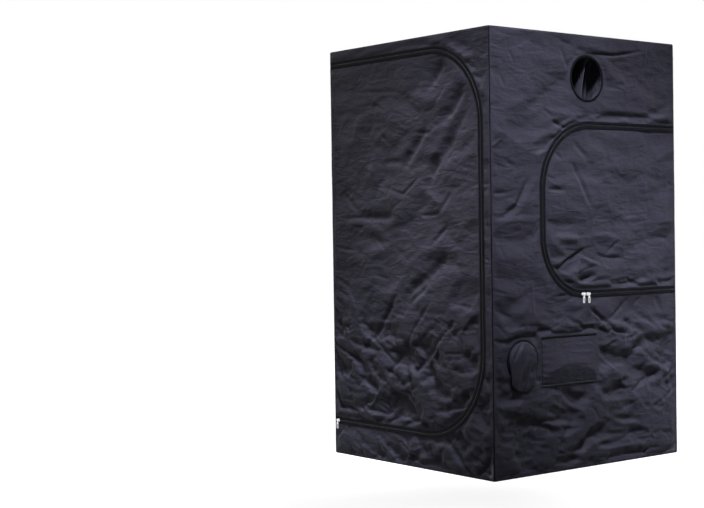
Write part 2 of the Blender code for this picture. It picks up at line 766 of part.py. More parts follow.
def add_hanging_bars():
    """Two bars across the tent, each with a hook at either end, on the roof's side rails."""
    pattern = hook_mesh()
    far = TUBE_RADIUS + FIT + HOOK_BLOCK_LENGTH
    bar_half = FRAME_X - far + HOOK_SOCKET - FIT
    along_x = Matrix.Rotation(QUARTER_TURN, 4, "Y")
    for which, place_y in (("front", -BAR_PLACE), ("back", BAR_PLACE)):
        middle = Matrix.Translation((0, place_y, FRAME_HIGH))
        runner = add_empty(f"bar_runner_{which}", middle)
        drop = Matrix.Translation((0, 0, -BAR_DROP))
        add_tube(f"hanging_bar_{which}", -bar_half, bar_half, middle @ drop @ along_x, BAR_RADIUS,
                 runner)
        for side, way in (("left", -1), ("right", 1)):
            mesh = mirrored(pattern, way, 1, 1)
            spot = middle @ Matrix.Translation((way * FRAME_X, 0, 0))
            soften(place(f"bar_hook_{which}_{side}", mesh, spot, BLACK_PLASTIC, runner))


# Cover

def binding_cell(i, j, k):
    """Whether a cell of the cover's three by three by three grid lies on one of its edges."""
    return all(0 <= n <= 2 for n in (i, j, k)) and (i, j, k).count(1) <= 1


def add_binding():
    """The bound seams of the cover: one taped frame along all its twelve edges.
    Faces stand wherever a cell on an edge meets open space."""
    lines = [(-size / 2, BINDING - size / 2, size / 2 - BINDING, size / 2)
             for size in (WIDTH, DEPTH, HEIGHT)]
    around = ((0, 0), (1, 0), (1, 1), (0, 1))
    work = bmesh.new()
    corners = {}
    for cell in np.ndindex(3, 3, 3):
        for axis, way in np.ndindex(3, 2):
            beyond = list(cell)
            beyond[axis] += 2 * way - 1
            if not binding_cell(*cell) or binding_cell(*beyond):
                continue
            face = []
            for one, other in around:
                spot = list(cell)
                spot[axis] += way
                spot[(axis + 1) % 3] += one
                spot[(axis + 2) % 3] += other
                key = tuple(spot)
                if key not in corners:
                    corners[key] = work.verts.new([lines[n][key[n]] for n in range(3)])
                face.append(corners[key])
            work.faces.new(face if way else face[::-1])
    mesh = bpy.data.meshes.new("binding")
    work.to_mesh(mesh)
    work.free()
    place("edge_binding", mesh, Matrix.Translation((0, 0, HEIGHT / 2)), BINDING_TAPE)


def rectangle(low_x, low_y, high_x, high_y):
    """Corners of a rectangle."""
    return [(low_x, low_y), (high_x, low_y), (high_x, high_y), (low_x, high_y)]


def rounded_rectangle(low_x, low_y, high_x, high_y, radius, steps):
    """Outline of a rectangle with round corners."""
    points = []
    left = low_x + radius
    right = high_x - radius
    low = low_y + radius
    high = high_y - radius
    for x, y, start in ((right, low, -QUARTER_TURN), (right, high, 0), (left, high, QUARTER_TURN),
                        (left, low, math.pi)):
        for step in range(steps + 1):
            angle = start + QUARTER_TURN * step / steps
            points.append((x + radius * math.cos(angle), y + radius * math.sin(angle)))
    return points


def circle(centre, radius, sides):
    """Outline of a circle."""
    return [(centre[0] + radius * math.cos(2 * math.pi * i / sides),
             centre[1] + radius * math.sin(2 * math.pi * i / sides)) for i in range(sides)]


def add_walls():
    """Roof, floor and the four walls, cut for the door, the window, the ports and the vent."""
    front = [(-FRONT_EDGE, EDGE), (FRONT_EDGE, HEIGHT - EDGE)]
    side = [(-SIDE_EDGE, EDGE), (SIDE_EDGE, HEIGHT - EDGE)]
    add_sheet("back_panel", front, free_relief(WIDTH), BACK_FACE, cell=FREE_WALL_CELL)
    add_sheet("left_panel", side, free_relief(DEPTH), LEFT_FACE, cell=FREE_WALL_CELL)
    add_sheet("roof_panel", [(-FRONT_EDGE, -SIDE_EDGE), (FRONT_EDGE, SIDE_EDGE)], roof_relief,
              ROOF_FACE, cell=FREE_WALL_CELL, margin=ROOF_MARGIN)
    floor = plate(rectangle(-FRONT_EDGE, -SIDE_EDGE, FRONT_EDGE, SIDE_EDGE), 0, CLOTH)
    place("floor_panel", floor, Matrix.Identity(4), WALL_CLOTH)

    wall_gap = TAPE_HALF + FIT
    front_panel = add_sheet("front_panel", front, front_relief, FRONT_FACE)
    apply_cut(front_panel, zip_cutter("doorway", DOOR_ZIP, wall_gap, FRONT_FACE))
    side_panel = add_sheet("side_panel", side, side_relief, SIDE_FACE)
    outlines = [
        zip_outline(WINDOW_ZIP, wall_gap),
        circle(TOP_PORT, TOP_PORT_RADIUS, PORT_SIDES),
        circle(LOW_PORT, LOW_PORT_RADIUS, PORT_SIDES),
        rectangle(*vent_opening()),
    ]
    openings = [plate(outline, -CUTTER_DEPTH, OVERRUN) for outline in outlines]
    apply_cut(side_panel, cutter("side_openings", joined(openings), SIDE_FACE))


def add_door():
    """The door: its cloth, its half of the zip, the slider and the pull."""
    hinge_spot = FRONT_FACE @ Matrix.Translation((DOOR_ZIP.hinge, 0, HINGE_PLAY))
    hinge = add_empty("door_hinge", hinge_spot)
    sheet = [(-FRONT_EDGE, DOOR_ZIP.bottom), (DOOR_ZIP.free, DOOR_ZIP.top)]
    panel = add_sheet("door_panel", sheet, front_relief, FRONT_FACE, hinge)
    shape = zip_cutter("door_shape", DOOR_ZIP, -TAPE_HALF - FIT, FRONT_FACE)
    apply_cut(panel, shape, "INTERSECT")
    add_zip_tape("door_zip_wall_tape", DOOR_ZIP, False, FRONT_FACE)
    add_zip_tape("door_zip_flap_tape", DOOR_ZIP, True, FRONT_FACE, hinge)
    spot = FRONT_FACE @ Matrix.Translation((DOOR_ZIP.hinge + DOOR_SLIDER_PLACE, DOOR_ZIP.bottom, 0))
    add_slider("door", spot, False, hinge)


def add_window():
    """The window: its cloth, its half of the zip, and two sliders that part head to head."""
    hinge_spot = SIDE_FACE @ Matrix.Translation((WINDOW_ZIP.hinge, 0, HINGE_PLAY))
    hinge = add_empty("window_hinge", hinge_spot)
    sheet = [(WINDOW_ZIP.free, WINDOW_ZIP.bottom), (SIDE_EDGE, WINDOW_ZIP.top)]
    panel = add_sheet("window_panel", sheet, side_relief, SIDE_FACE, hinge)
    shape = zip_cutter("window_shape", WINDOW_ZIP, -TAPE_HALF - FIT, SIDE_FACE)
    apply_cut(panel, shape, "INTERSECT")
    add_zip_tape("window_zip_wall_tape", WINDOW_ZIP, False, SIDE_FACE)
    add_zip_tape("window_zip_flap_tape", WINDOW_ZIP, True, SIDE_FACE, hinge)

    centre_u, centre_v = WINDOW_ZIP.bottom_centre()
    right_u = centre_u + SLIDER_LENGTH / 2
    spot = SIDE_FACE @ Matrix.Translation((right_u, WINDOW_ZIP.bottom, 0))
    add_slider("window_right", spot, True, hinge)
    corner_spot = SIDE_FACE @ Matrix.Translation((centre_u, centre_v, 0))
    corner = add_empty("window_corner", corner_spot, hinge)
    turn = Matrix.Rotation(-left_slider_angle(), 4, "Z")
    reach = Matrix.Translation((0, -WINDOW_ZIP.bottom_radius, 0))
    add_slider("window_left", corner_spot @ turn @ reach, False, corner)


def left_slider_angle():
    """Angle of the left window slider past the start of the round corner."""
    return (SLIDER_LENGTH / 2 + SLIDER_END_GAP) / WINDOW_ZIP.bottom_radius


def slider_mesh(faces_left):
    """A zip slider on the local X axis, nose at +X: a waisted front plate with flanges over the
    coil, a post between the coil halves, a back plate behind the flap's half, which lies at +Y,
    and a bridge for the pull."""
    outline = [(x * SLIDER_LENGTH, y * SLIDER_WIDTH) for x, y in SLIDER_OUTLINE_SHARES]
    body = plate(outline, SLIDER_FLANGE_LIFT, SLIDER_TOP)
    inside = SLIDER_WIDTH / 2 - SLIDER_FLANGE
    channel = box((-SLIDER_LENGTH, -inside, -OVERRUN), (SLIDER_LENGTH, inside, SLIDER_FLOOR))
    back_top = -CLOTH - SLIDER_RUNNING_GAP
    post_low = SLIDER_POST_AHEAD - SLIDER_POST_LENGTH / 2
    post_high = SLIDER_POST_AHEAD + SLIDER_POST_LENGTH / 2
    post = box((post_low, -SLIDER_POST / 2, back_top - SLIDER_PLATE / 2),
               (post_high, SLIDER_POST / 2, SLIDER_FLOOR + SLIDER_PLATE / 2))
    back = box((-SLIDER_BACK_LENGTH / 2, -SLIDER_POST / 2, back_top - SLIDER_PLATE),
               (SLIDER_BACK_LENGTH / 2, inside, back_top))
    foot = SLIDER_BRIDGE_LENGTH / 2
    crown = SLIDER_BRIDGE_TOP / 2
    low = SLIDER_TOP - SLIDER_PLATE / 2
    knee = (BRIDGE_AXIS + SLIDER_TOP) / 2
    bridge = wire([(-foot, 0, low), (-foot, 0, knee), (-crown, 0, BRIDGE_AXIS),
                   (crown, 0, BRIDGE_AXIS), (foot, 0, knee), (foot, 0, low)], SLIDER_BRIDGE_RADIUS)
    steps = [("DIFFERENCE", channel), ("UNION", post), ("UNION", back), ("UNION", bridge)]
    mesh = combine(body, steps)
    return mirrored(mesh, -1, 1, 1) if faces_left else mesh


def pull_mesh():
    """A pull tab that hangs along -Y from an eye round the bridge, which is the local X axis."""
    bore = SLIDER_BRIDGE_RADIUS + FIT
    eye_radius = bore + PULL_EYE_WALL
    half = PULL_THICKNESS / 2
    sides = 2 * PULL_ARC_STEPS
    eye = plate(circle((0, 0), eye_radius, sides), -PULL_NECK / 2, PULL_NECK / 2,
                [circle((0, 0), bore, sides)])
    eye.transform(Matrix.Rotation(QUARTER_TURN, 4, "Y"))
    tip = -PULL_LENGTH
    shoulder = tip + PULL_LENGTH * 2 / 3
    round_end = PULL_WIDTH / 2
    arc = [(round_end * math.cos(a), tip + round_end + round_end * math.sin(a))
           for a in np.linspace(math.pi, 2 * math.pi, PULL_ARC_STEPS + 1)]
    neck = PULL_NECK / 2
    top = -(bore + eye_radius) / 2
    outline = [(neck, top), (-neck, top), (-neck, shoulder + neck), (-round_end, shoulder)]
    outline += arc + [(round_end, shoulder), (neck, shoulder + neck)]
    slot_low = tip + PULL_SLOT_TIP
    slot = rounded_rectangle(-PULL_SLOT_WIDTH / 2, slot_low, PULL_SLOT_WIDTH / 2,
                             slot_low + PULL_SLOT_LENGTH, PULL_SLOT_WIDTH / 3, 2)
    tab = plate(outline, -half, half, [slot])
    return combine(eye, [("UNION", tab)])


def add_slider(name, spot, faces_left, parent):
    """A slider on its zip and the pull that hangs from its bridge."""
    soften(place(f"{name}_slider", slider_mesh(faces_left), spot, ZINC, parent))
    pivot = add_empty(f"{name}_pull_pivot", spot @ Matrix.Translation((0, 0, BRIDGE_AXIS)), parent)
    soften(place(f"{name}_pull", pull_mesh(), pivot[1], ZINC, pivot))


# Ports and vent

def add_collar(name, centre, radius, lip):
    """A stiff ring round a port, on the outside of the wall; a lip covers a pushed-in rim."""
    low = radius - lip
    high = radius + PORT_COLLAR_WIDTH
    round_off = PORT_COLLAR_THICKNESS / 3
    profile = [(low, PORT_COLLAR_THICKNESS), (high - round_off, PORT_COLLAR_THICKNESS),
               (high, PORT_COLLAR_THICKNESS - round_off), (high, FIT), (low, FIT)]
    spot = SIDE_FACE @ Matrix.Translation((*centre, 0))
    add_turned(name, profile, spot, BLACK_PLASTIC, sides=PORT_SIDES)


def add_sleeve(name, centre, rings):
    """A cloth sleeve lofted through rings of points and thickened inwards."""
    count = len(rings[0])
    points = [point for ring in rings for point in ring]
    faces = []
    for row in range(len(rings) - 1):
        for i in range(count):
            following = (i + 1) % count
            faces.append((row * count + i, row * count + following,
                          (row + 1) * count + following, (row + 1) * count + i))
    mesh = bpy.data.meshes.new(name)
    mesh.from_pydata(points, [], faces)
    mesh.shade_smooth()
    spot = SIDE_FACE @ Matrix.Translation((*centre, 0))
    item = place(name, mesh, spot, WALL_CLOTH)
    thick = item.modifiers.new("cloth", "SOLIDIFY")
    thick.thickness = SLEEVE_CLOTH
    return item


def top_sleeve_rings():
    """Rings of the upper sleeve, pushed in through its port: it narrows, sags and pleats."""
    rings = []
    for row in range(SLEEVE_RINGS + 1):
        share = row / SLEEVE_RINGS
        radius = (TOP_PORT_RADIUS - FIT) * (1 - share * share / 4)
        sag = TOP_SLEEVE_SAG * share * share
        ring = []
        for i in range(PORT_SIDES):
            angle = 2 * math.pi * i / PORT_SIDES
            pleat = 1 - share * math.sin(PLEATS * angle / 2) ** 2 / 6
            ring.append((radius * pleat * math.cos(angle), radius * pleat * math.sin(angle) - sag,
                         -TOP_SLEEVE_LENGTH * share))
        rings.append(ring)
    return rings[::-1]


def low_sleeve_rings():
    """Rings of the lower sleeve: straight out through its collar, over, and down to a flat hem."""
    neck = PORT_COLLAR_THICKNESS + FIT
    rim = circle((0, 0), LOW_PORT_RADIUS - FIT, PORT_SIDES)
    rings = [[(u, v, -CLOTH) for u, v in rim]]
    for row in range(SLEEVE_RINGS + 1):
        share = row / SLEEVE_RINGS
        bend = QUARTER_TURN * smooth_step(share, 0, 1)
        out = neck + LOW_SLEEVE_REACH * math.sin(min(share * 2, 1) * QUARTER_TURN)
        down = LOW_SLEEVE_DROOP * share ** (6 / 5)
        sway = LOW_SLEEVE_SWAY * share * share
        half_width = (LOW_PORT_RADIUS - FIT) * (1 - share * share / 3)
        half_depth = (LOW_PORT_RADIUS - FIT) * (1 - smooth_step(share, 0, 1) * 4 / 5)
        ring = []
        for i in range(PORT_SIDES):
            angle = 2 * math.pi * i / PORT_SIDES
            pleat = 1 - share * math.sin(PLEATS * angle / 2) ** 2 / 5
            across = half_width * math.cos(angle) + sway
            up = half_depth * pleat * math.sin(angle)
            ring.append((across, up * math.cos(bend) - down, out + up * math.sin(bend)))
        rings.append(ring)
    return rings


def vent_opening():
    """Corners of the hole in the wall behind the flap."""
    return (FLAP_LEFT + FLAP_LAP, HEM_TOP + FLAP_LAP / 2, FLAP_RIGHT - FLAP_LAP,
            FLAP_TOP - STRIP_INSET - STRIP_HEIGHT - FLAP_LAP / 3)


def add_ports():
    """Collars and sleeves of both ports."""
    add_collar("top_port_collar", TOP_PORT, TOP_PORT_RADIUS, PORT_COLLAR_LIP)
    add_collar("low_port_collar", LOW_PORT, LOW_PORT_RADIUS, 0)
    add_sleeve("top_port_sleeve", TOP_PORT, top_sleeve_rings())
    add_sleeve("low_port_sleeve", LOW_PORT, low_sleeve_rings())


def add_vent():
    """The vent: a net inside the wall, and outside a hem, a flap and two fastening strips."""
    low_u, low_v, high_u, high_v = vent_opening()
    net_outline = rectangle(low_u - NET_LAP, low_v - NET_LAP, high_u + NET_LAP, high_v + NET_LAP)
    step_u = (high_u - low_u + NET_STRAND) / NET_COLUMNS
    step_v = (high_v - low_v + NET_STRAND) / NET_ROWS
    gaps = []
    for column in range(NET_COLUMNS):
        for row in range(NET_ROWS):
            start_u = low_u + column * step_u
            start_v = low_v + row * step_v
            gaps.append(rectangle(start_u, start_v, start_u + step_u - NET_STRAND,
                                  start_v + step_v - NET_STRAND))
    net_front = -CLOTH - FIT
    place("vent_net", plate(net_outline, net_front - NET_THICKNESS, net_front, gaps), SIDE_FACE,
          NET_YARN)
    hem = rectangle(FLAP_LEFT, VENT_BOTTOM, FLAP_RIGHT, HEM_TOP)
    place("vent_hem", plate(hem, FIT, FLAP_FRONT), SIDE_FACE, WALL_CLOTH)

    strip = rectangle(FLAP_LEFT + STRIP_INSET, FLAP_TOP - STRIP_INSET - STRIP_HEIGHT,
                      FLAP_RIGHT - STRIP_INSET, FLAP_TOP - STRIP_INSET)
    place("vent_loop_strip", plate(strip, FIT, FIT + STRIP_THICKNESS), SIDE_FACE, BINDING_TAPE)
    fold = Matrix.Translation((0, HEM_TOP, FLAP_FRONT + HINGE_PLAY))
    hinge = add_empty("vent_hinge", SIDE_FACE @ fold)
    hook = plate(strip, HOOK_STRIP_BACK, HOOK_STRIP_BACK + STRIP_THICKNESS)
    place("vent_hook_strip", hook, SIDE_FACE, BINDING_TAPE, hinge)
    flap = plate(rectangle(FLAP_LEFT, HEM_TOP + FIT, FLAP_RIGHT, FLAP_TOP), FLAP_BACK, FLAP_FRONT)
    place("vent_flap", flap, SIDE_FACE, WALL_CLOTH, hinge)


def add_tray():
    """The loose tray on the floor, inside the floor rails."""
    play = FRAME_INSET + CONNECTOR_RADIUS + TRAY_PLAY
    half_x = WIDTH / 2 - play
    half_y = DEPTH / 2 - play
    low = CLOTH + FIT
    outer = rounded_rectangle(-half_x, -half_y, half_x, half_y, TRAY_CORNER, TRAY_CORNER_STEPS)
    thin = TRAY_CLOTH
    inner = rounded_rectangle(thin - half_x, thin - half_y, half_x - thin, half_y - thin,
                              TRAY_CORNER - thin, TRAY_CORNER_STEPS)
    body = plate(outer, low, low + TRAY_HEIGHT)
    hollow = plate(inner, low + TRAY_CLOTH, low + TRAY_HEIGHT + OVERRUN)
    mesh = combine(body, [("DIFFERENCE", hollow)])
    place("spill_tray", mesh, Matrix.Identity(4), TRAY_CLOTH_LOOK)


CORNERS = (("front_left", -1, -1), ("front_right", 1, -1), ("back_left", -1, 1), ("back_right", 1, 1))


def main():
    """Model the whole tent."""
    add_connectors()
    add_rails()
    add_uprights()
    add_hanging_bars()
    add_binding()
    add_walls()
    add_door()
    add_window()
    add_ports()
    add_vent()
    add_tray()


main()
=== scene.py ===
"""Looks of an indoor grow tent: its cloth, zips, ports, vent, frame finishes and a studio.

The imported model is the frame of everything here. Metres, +Z up, and the front faces -Y.
Each side is worked out in its own face coordinates: u to the right as seen from outside,
v up the wall and w out of the tent.
"""
import json
import math

import bpy
import numpy as np
from mathutils import Matrix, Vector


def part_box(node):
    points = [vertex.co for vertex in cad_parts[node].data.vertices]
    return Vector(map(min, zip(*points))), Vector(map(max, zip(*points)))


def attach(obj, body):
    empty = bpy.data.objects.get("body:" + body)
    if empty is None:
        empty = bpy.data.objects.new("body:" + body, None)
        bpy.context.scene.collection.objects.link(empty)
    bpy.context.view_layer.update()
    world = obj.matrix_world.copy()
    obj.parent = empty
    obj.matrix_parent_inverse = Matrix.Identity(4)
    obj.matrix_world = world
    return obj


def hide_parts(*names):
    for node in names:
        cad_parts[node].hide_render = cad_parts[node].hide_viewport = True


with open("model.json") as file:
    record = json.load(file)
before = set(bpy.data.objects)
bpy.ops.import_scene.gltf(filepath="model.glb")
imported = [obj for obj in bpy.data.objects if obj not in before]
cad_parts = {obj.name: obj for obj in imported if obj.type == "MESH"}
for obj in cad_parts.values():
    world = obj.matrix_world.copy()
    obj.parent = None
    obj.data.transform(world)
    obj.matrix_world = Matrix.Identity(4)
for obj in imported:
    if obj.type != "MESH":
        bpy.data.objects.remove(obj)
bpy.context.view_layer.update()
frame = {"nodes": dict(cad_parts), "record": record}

bl_info = {
    "name": "Indoor grow tent",
    "version": (1, 0, 0),
    "blender": (4, 5, 0),
    "location": "3D View > Sidebar > Grow tent",
    "description": "Builds the looks of an indoor grow tent round its packed model",
    "category": "Object",
}

BINDING_LOW, BINDING_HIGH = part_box("edge_binding")
WIDTH = BINDING_HIGH.x - BINDING_LOW.x
DEPTH = BINDING_HIGH.y - BINDING_LOW.y
HEIGHT = BINDING_HIGH.z
PANEL_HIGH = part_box("roof_panel")[1]
BINDING = WIDTH / 2 - PANEL_HIGH.x
ROOT = "tent"
QUARTER = math.pi / 2
MM = 1000  # millimetres in a metre
CORNERS = ((1, 1), (-1, 1), (-1, -1), (1, -1))


# Sizes and colours that a user may change

class GrowTentCloth(bpy.types.PropertyGroup):
    """Cloth of the walls"""
    cell: bpy.props.FloatProperty(
        name="Cell", description="Side of one cell of a wall's mesh",
        default=0.0065, unit="LENGTH")
    plain_cell: bpy.props.FloatProperty(
        name="Plain cell", description="Side of one cell where a wall has no zip",
        default=0.009, unit="LENGTH")
    thickness: bpy.props.FloatProperty(
        name="Thickness", description="Thickness of the coated cloth",
        default=0.001, unit="LENGTH")
    slack: bpy.props.FloatProperty(
        name="Slack", description="Spare length of the cloth over its folds, as a share",
        default=0.0012, subtype="FACTOR")
    fold_depth: bpy.props.FloatProperty(
        name="Fold depth", description="How far a fold may lie inside the face",
        default=0.015, unit="LENGTH")
    swell: bpy.props.FloatProperty(
        name="Swell", description="How far the cloth may stand out of the face",
        default=0.008, unit="LENGTH")
    crumple: bpy.props.FloatProperty(
        name="Crumple", description="Height of the pressed facets over the grid's cell",
        default=0.3, min=0.0, max=1.0)
    crease: bpy.props.FloatProperty(
        name="Crease", description="Height of the small creases",
        default=0.0026, unit="LENGTH")
    weave: bpy.props.FloatProperty(
        name="Weave", description="Distance between two threads of the cloth",
        default=0.0009, unit="LENGTH")


class GrowTentZips(bpy.types.PropertyGroup):
    """Zips of the door and the window"""
    tape_half: bpy.props.FloatProperty(
        name="Tape width", description="Width of one of a zip's two tapes",
        default=0.018, unit="LENGTH")
    tape_lap: bpy.props.FloatProperty(
        name="Tape lap", description="How far the cloth reaches under a tape",
        default=0.008, unit="LENGTH")
    gap_half: bpy.props.FloatProperty(
        name="Gap", description="From the zip's line to the edge of a tape",
        default=0.0013, unit="LENGTH")
    coil_gap: bpy.props.FloatProperty(
        name="Coil gap", description="From the zip's line to one half of the coil",
        default=0.0001, unit="LENGTH")
    coil_width: bpy.props.FloatProperty(
        name="Coil width", description="From the zip's line to the far side of half the coil",
        default=0.0046, unit="LENGTH")
    coil_height: bpy.props.FloatProperty(
        name="Coil height", description="Height of the coil above the tape",
        default=0.0011, unit="LENGTH")
    coil_pitch: bpy.props.FloatProperty(
        name="Coil pitch", description="Distance between two turns of the coil",
        default=0.0024, unit="LENGTH")
    door_top_radius: bpy.props.FloatProperty(
        name="Door top radius", description="Radius of the door's upper corner",
        default=0.35, unit="LENGTH")
    door_bottom_radius: bpy.props.FloatProperty(
        name="Door bottom radius", description="Radius of the door's lower corner",
        default=0.4, unit="LENGTH")
    window_top_radius: bpy.props.FloatProperty(
        name="Window top radius", description="Radius of the window's upper corner",
        default=0.3, unit="LENGTH")
    window_bottom_radius: bpy.props.FloatProperty(
        name="Window bottom radius", description="Radius of the window's lower corner",
        default=0.27, unit="LENGTH")


class GrowTentSeams(bpy.types.PropertyGroup):
    """Seams, stitches, sleeves and the vent"""
    binding_radius: bpy.props.FloatProperty(
        name="Binding radius", description="Half the thickness of a bound edge",
        default=0.003, unit="LENGTH")
    stitch_pitch: bpy.props.FloatProperty(
        name="Stitch pitch", description="Distance between two stitches",
        default=0.0045, unit="LENGTH")
    stitch_length: bpy.props.FloatProperty(
        name="Stitch length", description="Length of thread that shows in a stitch",
        default=0.0032, unit="LENGTH")
    thread: bpy.props.FloatProperty(
        name="Thread", description="Thickness of the sewing thread",
        default=0.0005, unit="LENGTH")
    sleeve_cloth: bpy.props.FloatProperty(
        name="Sleeve cloth", description="Thickness of the port sleeves",
        default=0.0009, unit="LENGTH")
    vent_pouch: bpy.props.FloatProperty(
        name="Vent pouch", description="How far the vent's flap bellies out",
        default=0.02, unit="LENGTH")
    net_pitch: bpy.props.FloatProperty(
        name="Net pitch", description="Distance between two yarns of the vent's net",
        default=0.004, unit="LENGTH")


class GrowTentColours(bpy.types.PropertyGroup):
    """Colours of the finishes"""
    cloth: bpy.props.FloatVectorProperty(
        name="Cloth", description="Coated cloth of the walls",
        default=(0.038, 0.037, 0.049), size=3, subtype="COLOR")
    lining: bpy.props.FloatVectorProperty(
        name="Lining", description="Bright inner face of the walls",
        default=(0.74, 0.75, 0.77), size=3, subtype="COLOR")
    tape: bpy.props.FloatVectorProperty(
        name="Tape", description="Zip tapes and bound edges",
        default=(0.006, 0.006, 0.008), size=3, subtype="COLOR")
    thread: bpy.props.FloatVectorProperty(
        name="Thread", description="Sewing thread",
        default=(0.016, 0.016, 0.020), size=3, subtype="COLOR")
    plastic: bpy.props.FloatVectorProperty(
        name="Plastic", description="Corner connectors and bar hooks",
        default=(0.018, 0.018, 0.02), size=3, subtype="COLOR")
    steel: bpy.props.FloatVectorProperty(
        name="Steel", description="Frame tubes",
        default=(0.56, 0.57, 0.58), size=3, subtype="COLOR")
    zinc: bpy.props.FloatVectorProperty(
        name="Zinc", description="Zip sliders and their pulls",
        default=(0.86, 0.87, 0.88), size=3, subtype="COLOR")
    floor: bpy.props.FloatVectorProperty(
        name="Floor", description="Studio floor",
        default=(0.8, 0.8, 0.8), size=3, subtype="COLOR")


# Faces of the tent and the lines of its zips

class Face:
    """One side of the tent: where its own u, v and w directions lie in the world."""

    def __init__(self, origin, right, up, out):
        self.origin = np.array(origin, float)
        self.axes = np.array([right, up, out], float)

    def world(self, points):
        """Face coordinates as world coordinates: the origin plus u, v and w times their directions."""
        return self.origin + points @ self.axes


FRONT = Face((0, -DEPTH / 2, 0), (1, 0, 0), (0, 0, 1), (0, -1, 0))
SIDE = Face((WIDTH / 2, 0, 0), (0, 1, 0), (0, 0, 1), (1, 0, 0))
BACK = Face((0, DEPTH / 2, 0), (-1, 0, 0), (0, 0, 1), (0, 1, 0))
LEFT = Face((-WIDTH / 2, 0, 0), (0, -1, 0), (0, 0, 1), (-1, 0, 0))
ROOF = Face((0, 0, HEIGHT), (1, 0, 0), (0, 1, 0), (0, 0, 1))
FLOOR = Face((0, 0, 0), (0, 1, 0), (1, 0, 0), (0, 0, -1))


class ZipLine:
    """The D-shaped line of a zip, from the top of its hinge edge round the free side and back."""

    def __init__(self, hinge, free, bottom, top, top_radius, bottom_radius):
        self.hinge = hinge
        self.free = free
        self.bottom = bottom
        self.top = top
        self.top_radius = top_radius
        self.bottom_radius = bottom_radius
        self.way = 1 if free > hinge else -1

    def distance(self, u, v):
        """Signed distance to the line, below zero on the flap: the largest of the distances past
        the free side, the top and the bottom, and in the corners the distance to their circles."""
        past = self.way * (u - self.free)
        straight = np.maximum(np.maximum(past, v - self.top), self.bottom - v)
        rise = v - self.top + self.top_radius
        drop = self.bottom + self.bottom_radius - v
        upper = np.hypot(past + self.top_radius, rise) - self.top_radius
        lower = np.hypot(past + self.bottom_radius, drop) - self.bottom_radius
        made = np.where((past > -self.top_radius) & (rise > 0), upper, straight)
        return np.where((past > -self.bottom_radius) & (drop > 0), lower, made)

    def path(self, step):
        """Points at even steps along the line, their outward directions and their arc lengths."""
        turn = np.linspace(QUARTER, 0, 61)
        upper_u = self.free + self.way * self.top_radius * (np.cos(turn) - 1)
        upper_v = self.top + self.top_radius * (np.sin(turn) - 1)
        lower_u = self.free + self.way * self.bottom_radius * (np.sin(turn) - 1)
        lower_v = self.bottom + self.bottom_radius * (1 - np.cos(turn))
        u = np.concatenate([[self.hinge], upper_u, lower_u, [self.hinge]])
        v = np.concatenate([[self.top], upper_v, lower_v, [self.bottom]])
        along = np.concatenate([[0], np.cumsum(np.hypot(np.diff(u), np.diff(v)))])
        places = np.linspace(0, along[-1], round(along[-1] / step) + 1)
        points = np.stack([np.interp(places, along, u), np.interp(places, along, v)], -1)
        run = np.gradient(points, axis=0)
        run /= np.linalg.norm(run, axis=1, keepdims=True)
        outward = self.way * np.stack([-run[:, 1], run[:, 0]], -1)
        return points, outward, places


def zip_lines(context):
    """The door's and the window's zip lines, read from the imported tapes."""
    zips = context.scene.grow_tent_zips
    low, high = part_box("door_zip_wall_tape")
    door = ZipLine(low.x, high.x - zips.tape_half, low.z + zips.tape_half,
                   high.z - zips.tape_half, zips.door_top_radius, zips.door_bottom_radius)
    low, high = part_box("window_zip_wall_tape")
    window = ZipLine(high.y, low.y + zips.tape_half, low.z + zips.tape_half,
                     high.z - zips.tape_half, zips.window_top_radius, zips.window_bottom_radius)
    return door, window


def middle(node):
    """Middle of a node's box."""
    low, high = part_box(node)
    return (low + high) / 2


def half_span(node):
    """Half the height of a node's box."""
    low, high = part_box(node)
    return (high.z - low.z) / 2


# Meshes from arrays

def grid_quads(rows, columns, wrap_rows=False, wrap_columns=False):
    """Corner numbers of a grid's cells, counted row by row."""
    i, j = np.meshgrid(np.arange(rows if wrap_rows else rows - 1),
                       np.arange(columns if wrap_columns else columns - 1), indexing="ij")
    after_i = (i + 1) % rows
    after_j = (j + 1) % columns
    corners = [i * columns + j, i * columns + after_j,
               after_i * columns + after_j, after_i * columns + j]
    return np.stack(corners, -1).reshape(-1, 4)


def make_mesh(name, points, faces, looks, uv=None):
    """A mesh from an array of points and one or more arrays of faces, with a UV map if given."""
    mesh = bpy.data.meshes.new(name)
    loops = np.concatenate([block.ravel() for block in faces]).astype(np.int32)
    sides = np.concatenate([np.full(len(block), block.shape[1]) for block in faces])
    starts = np.concatenate([[0], np.cumsum(sides)[:-1]]).astype(np.int32)
    mesh.vertices.add(len(points))
    mesh.vertices.foreach_set("co", np.ascontiguousarray(points, np.float32).ravel())
    mesh.loops.add(len(loops))
    mesh.loops.foreach_set("vertex_index", loops)
    mesh.polygons.add(len(sides))
    mesh.polygons.foreach_set("loop_start", starts)
    mesh.update(calc_edges=True)
    if uv is not None:
        layer = mesh.uv_layers.new(name="cloth")
        layer.uv.foreach_set("vector", np.ascontiguousarray(uv[loops], np.float32).ravel())
    for look in looks:
        mesh.materials.append(look)
    mesh.shade_smooth()
    return mesh


def add_piece(name, mesh, body, nodes=()):
    """Put a mesh in the scene on its body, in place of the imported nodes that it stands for."""
    piece = bpy.data.objects.new(name, mesh)
    bpy.context.scene.collection.objects.link(piece)
    if nodes:
        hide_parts(*nodes)
    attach(piece, body)
    return piece


def thicken(piece, thickness, inner_look=0):
    """Give a sheet its thickness inwards, with another look on its inner side if one is numbered."""
    wall = piece.modifiers.new("cloth", "SOLIDIFY")
    wall.thickness = thickness
    wall.offset = -1
    wall.material_offset = inner_look
    return piece


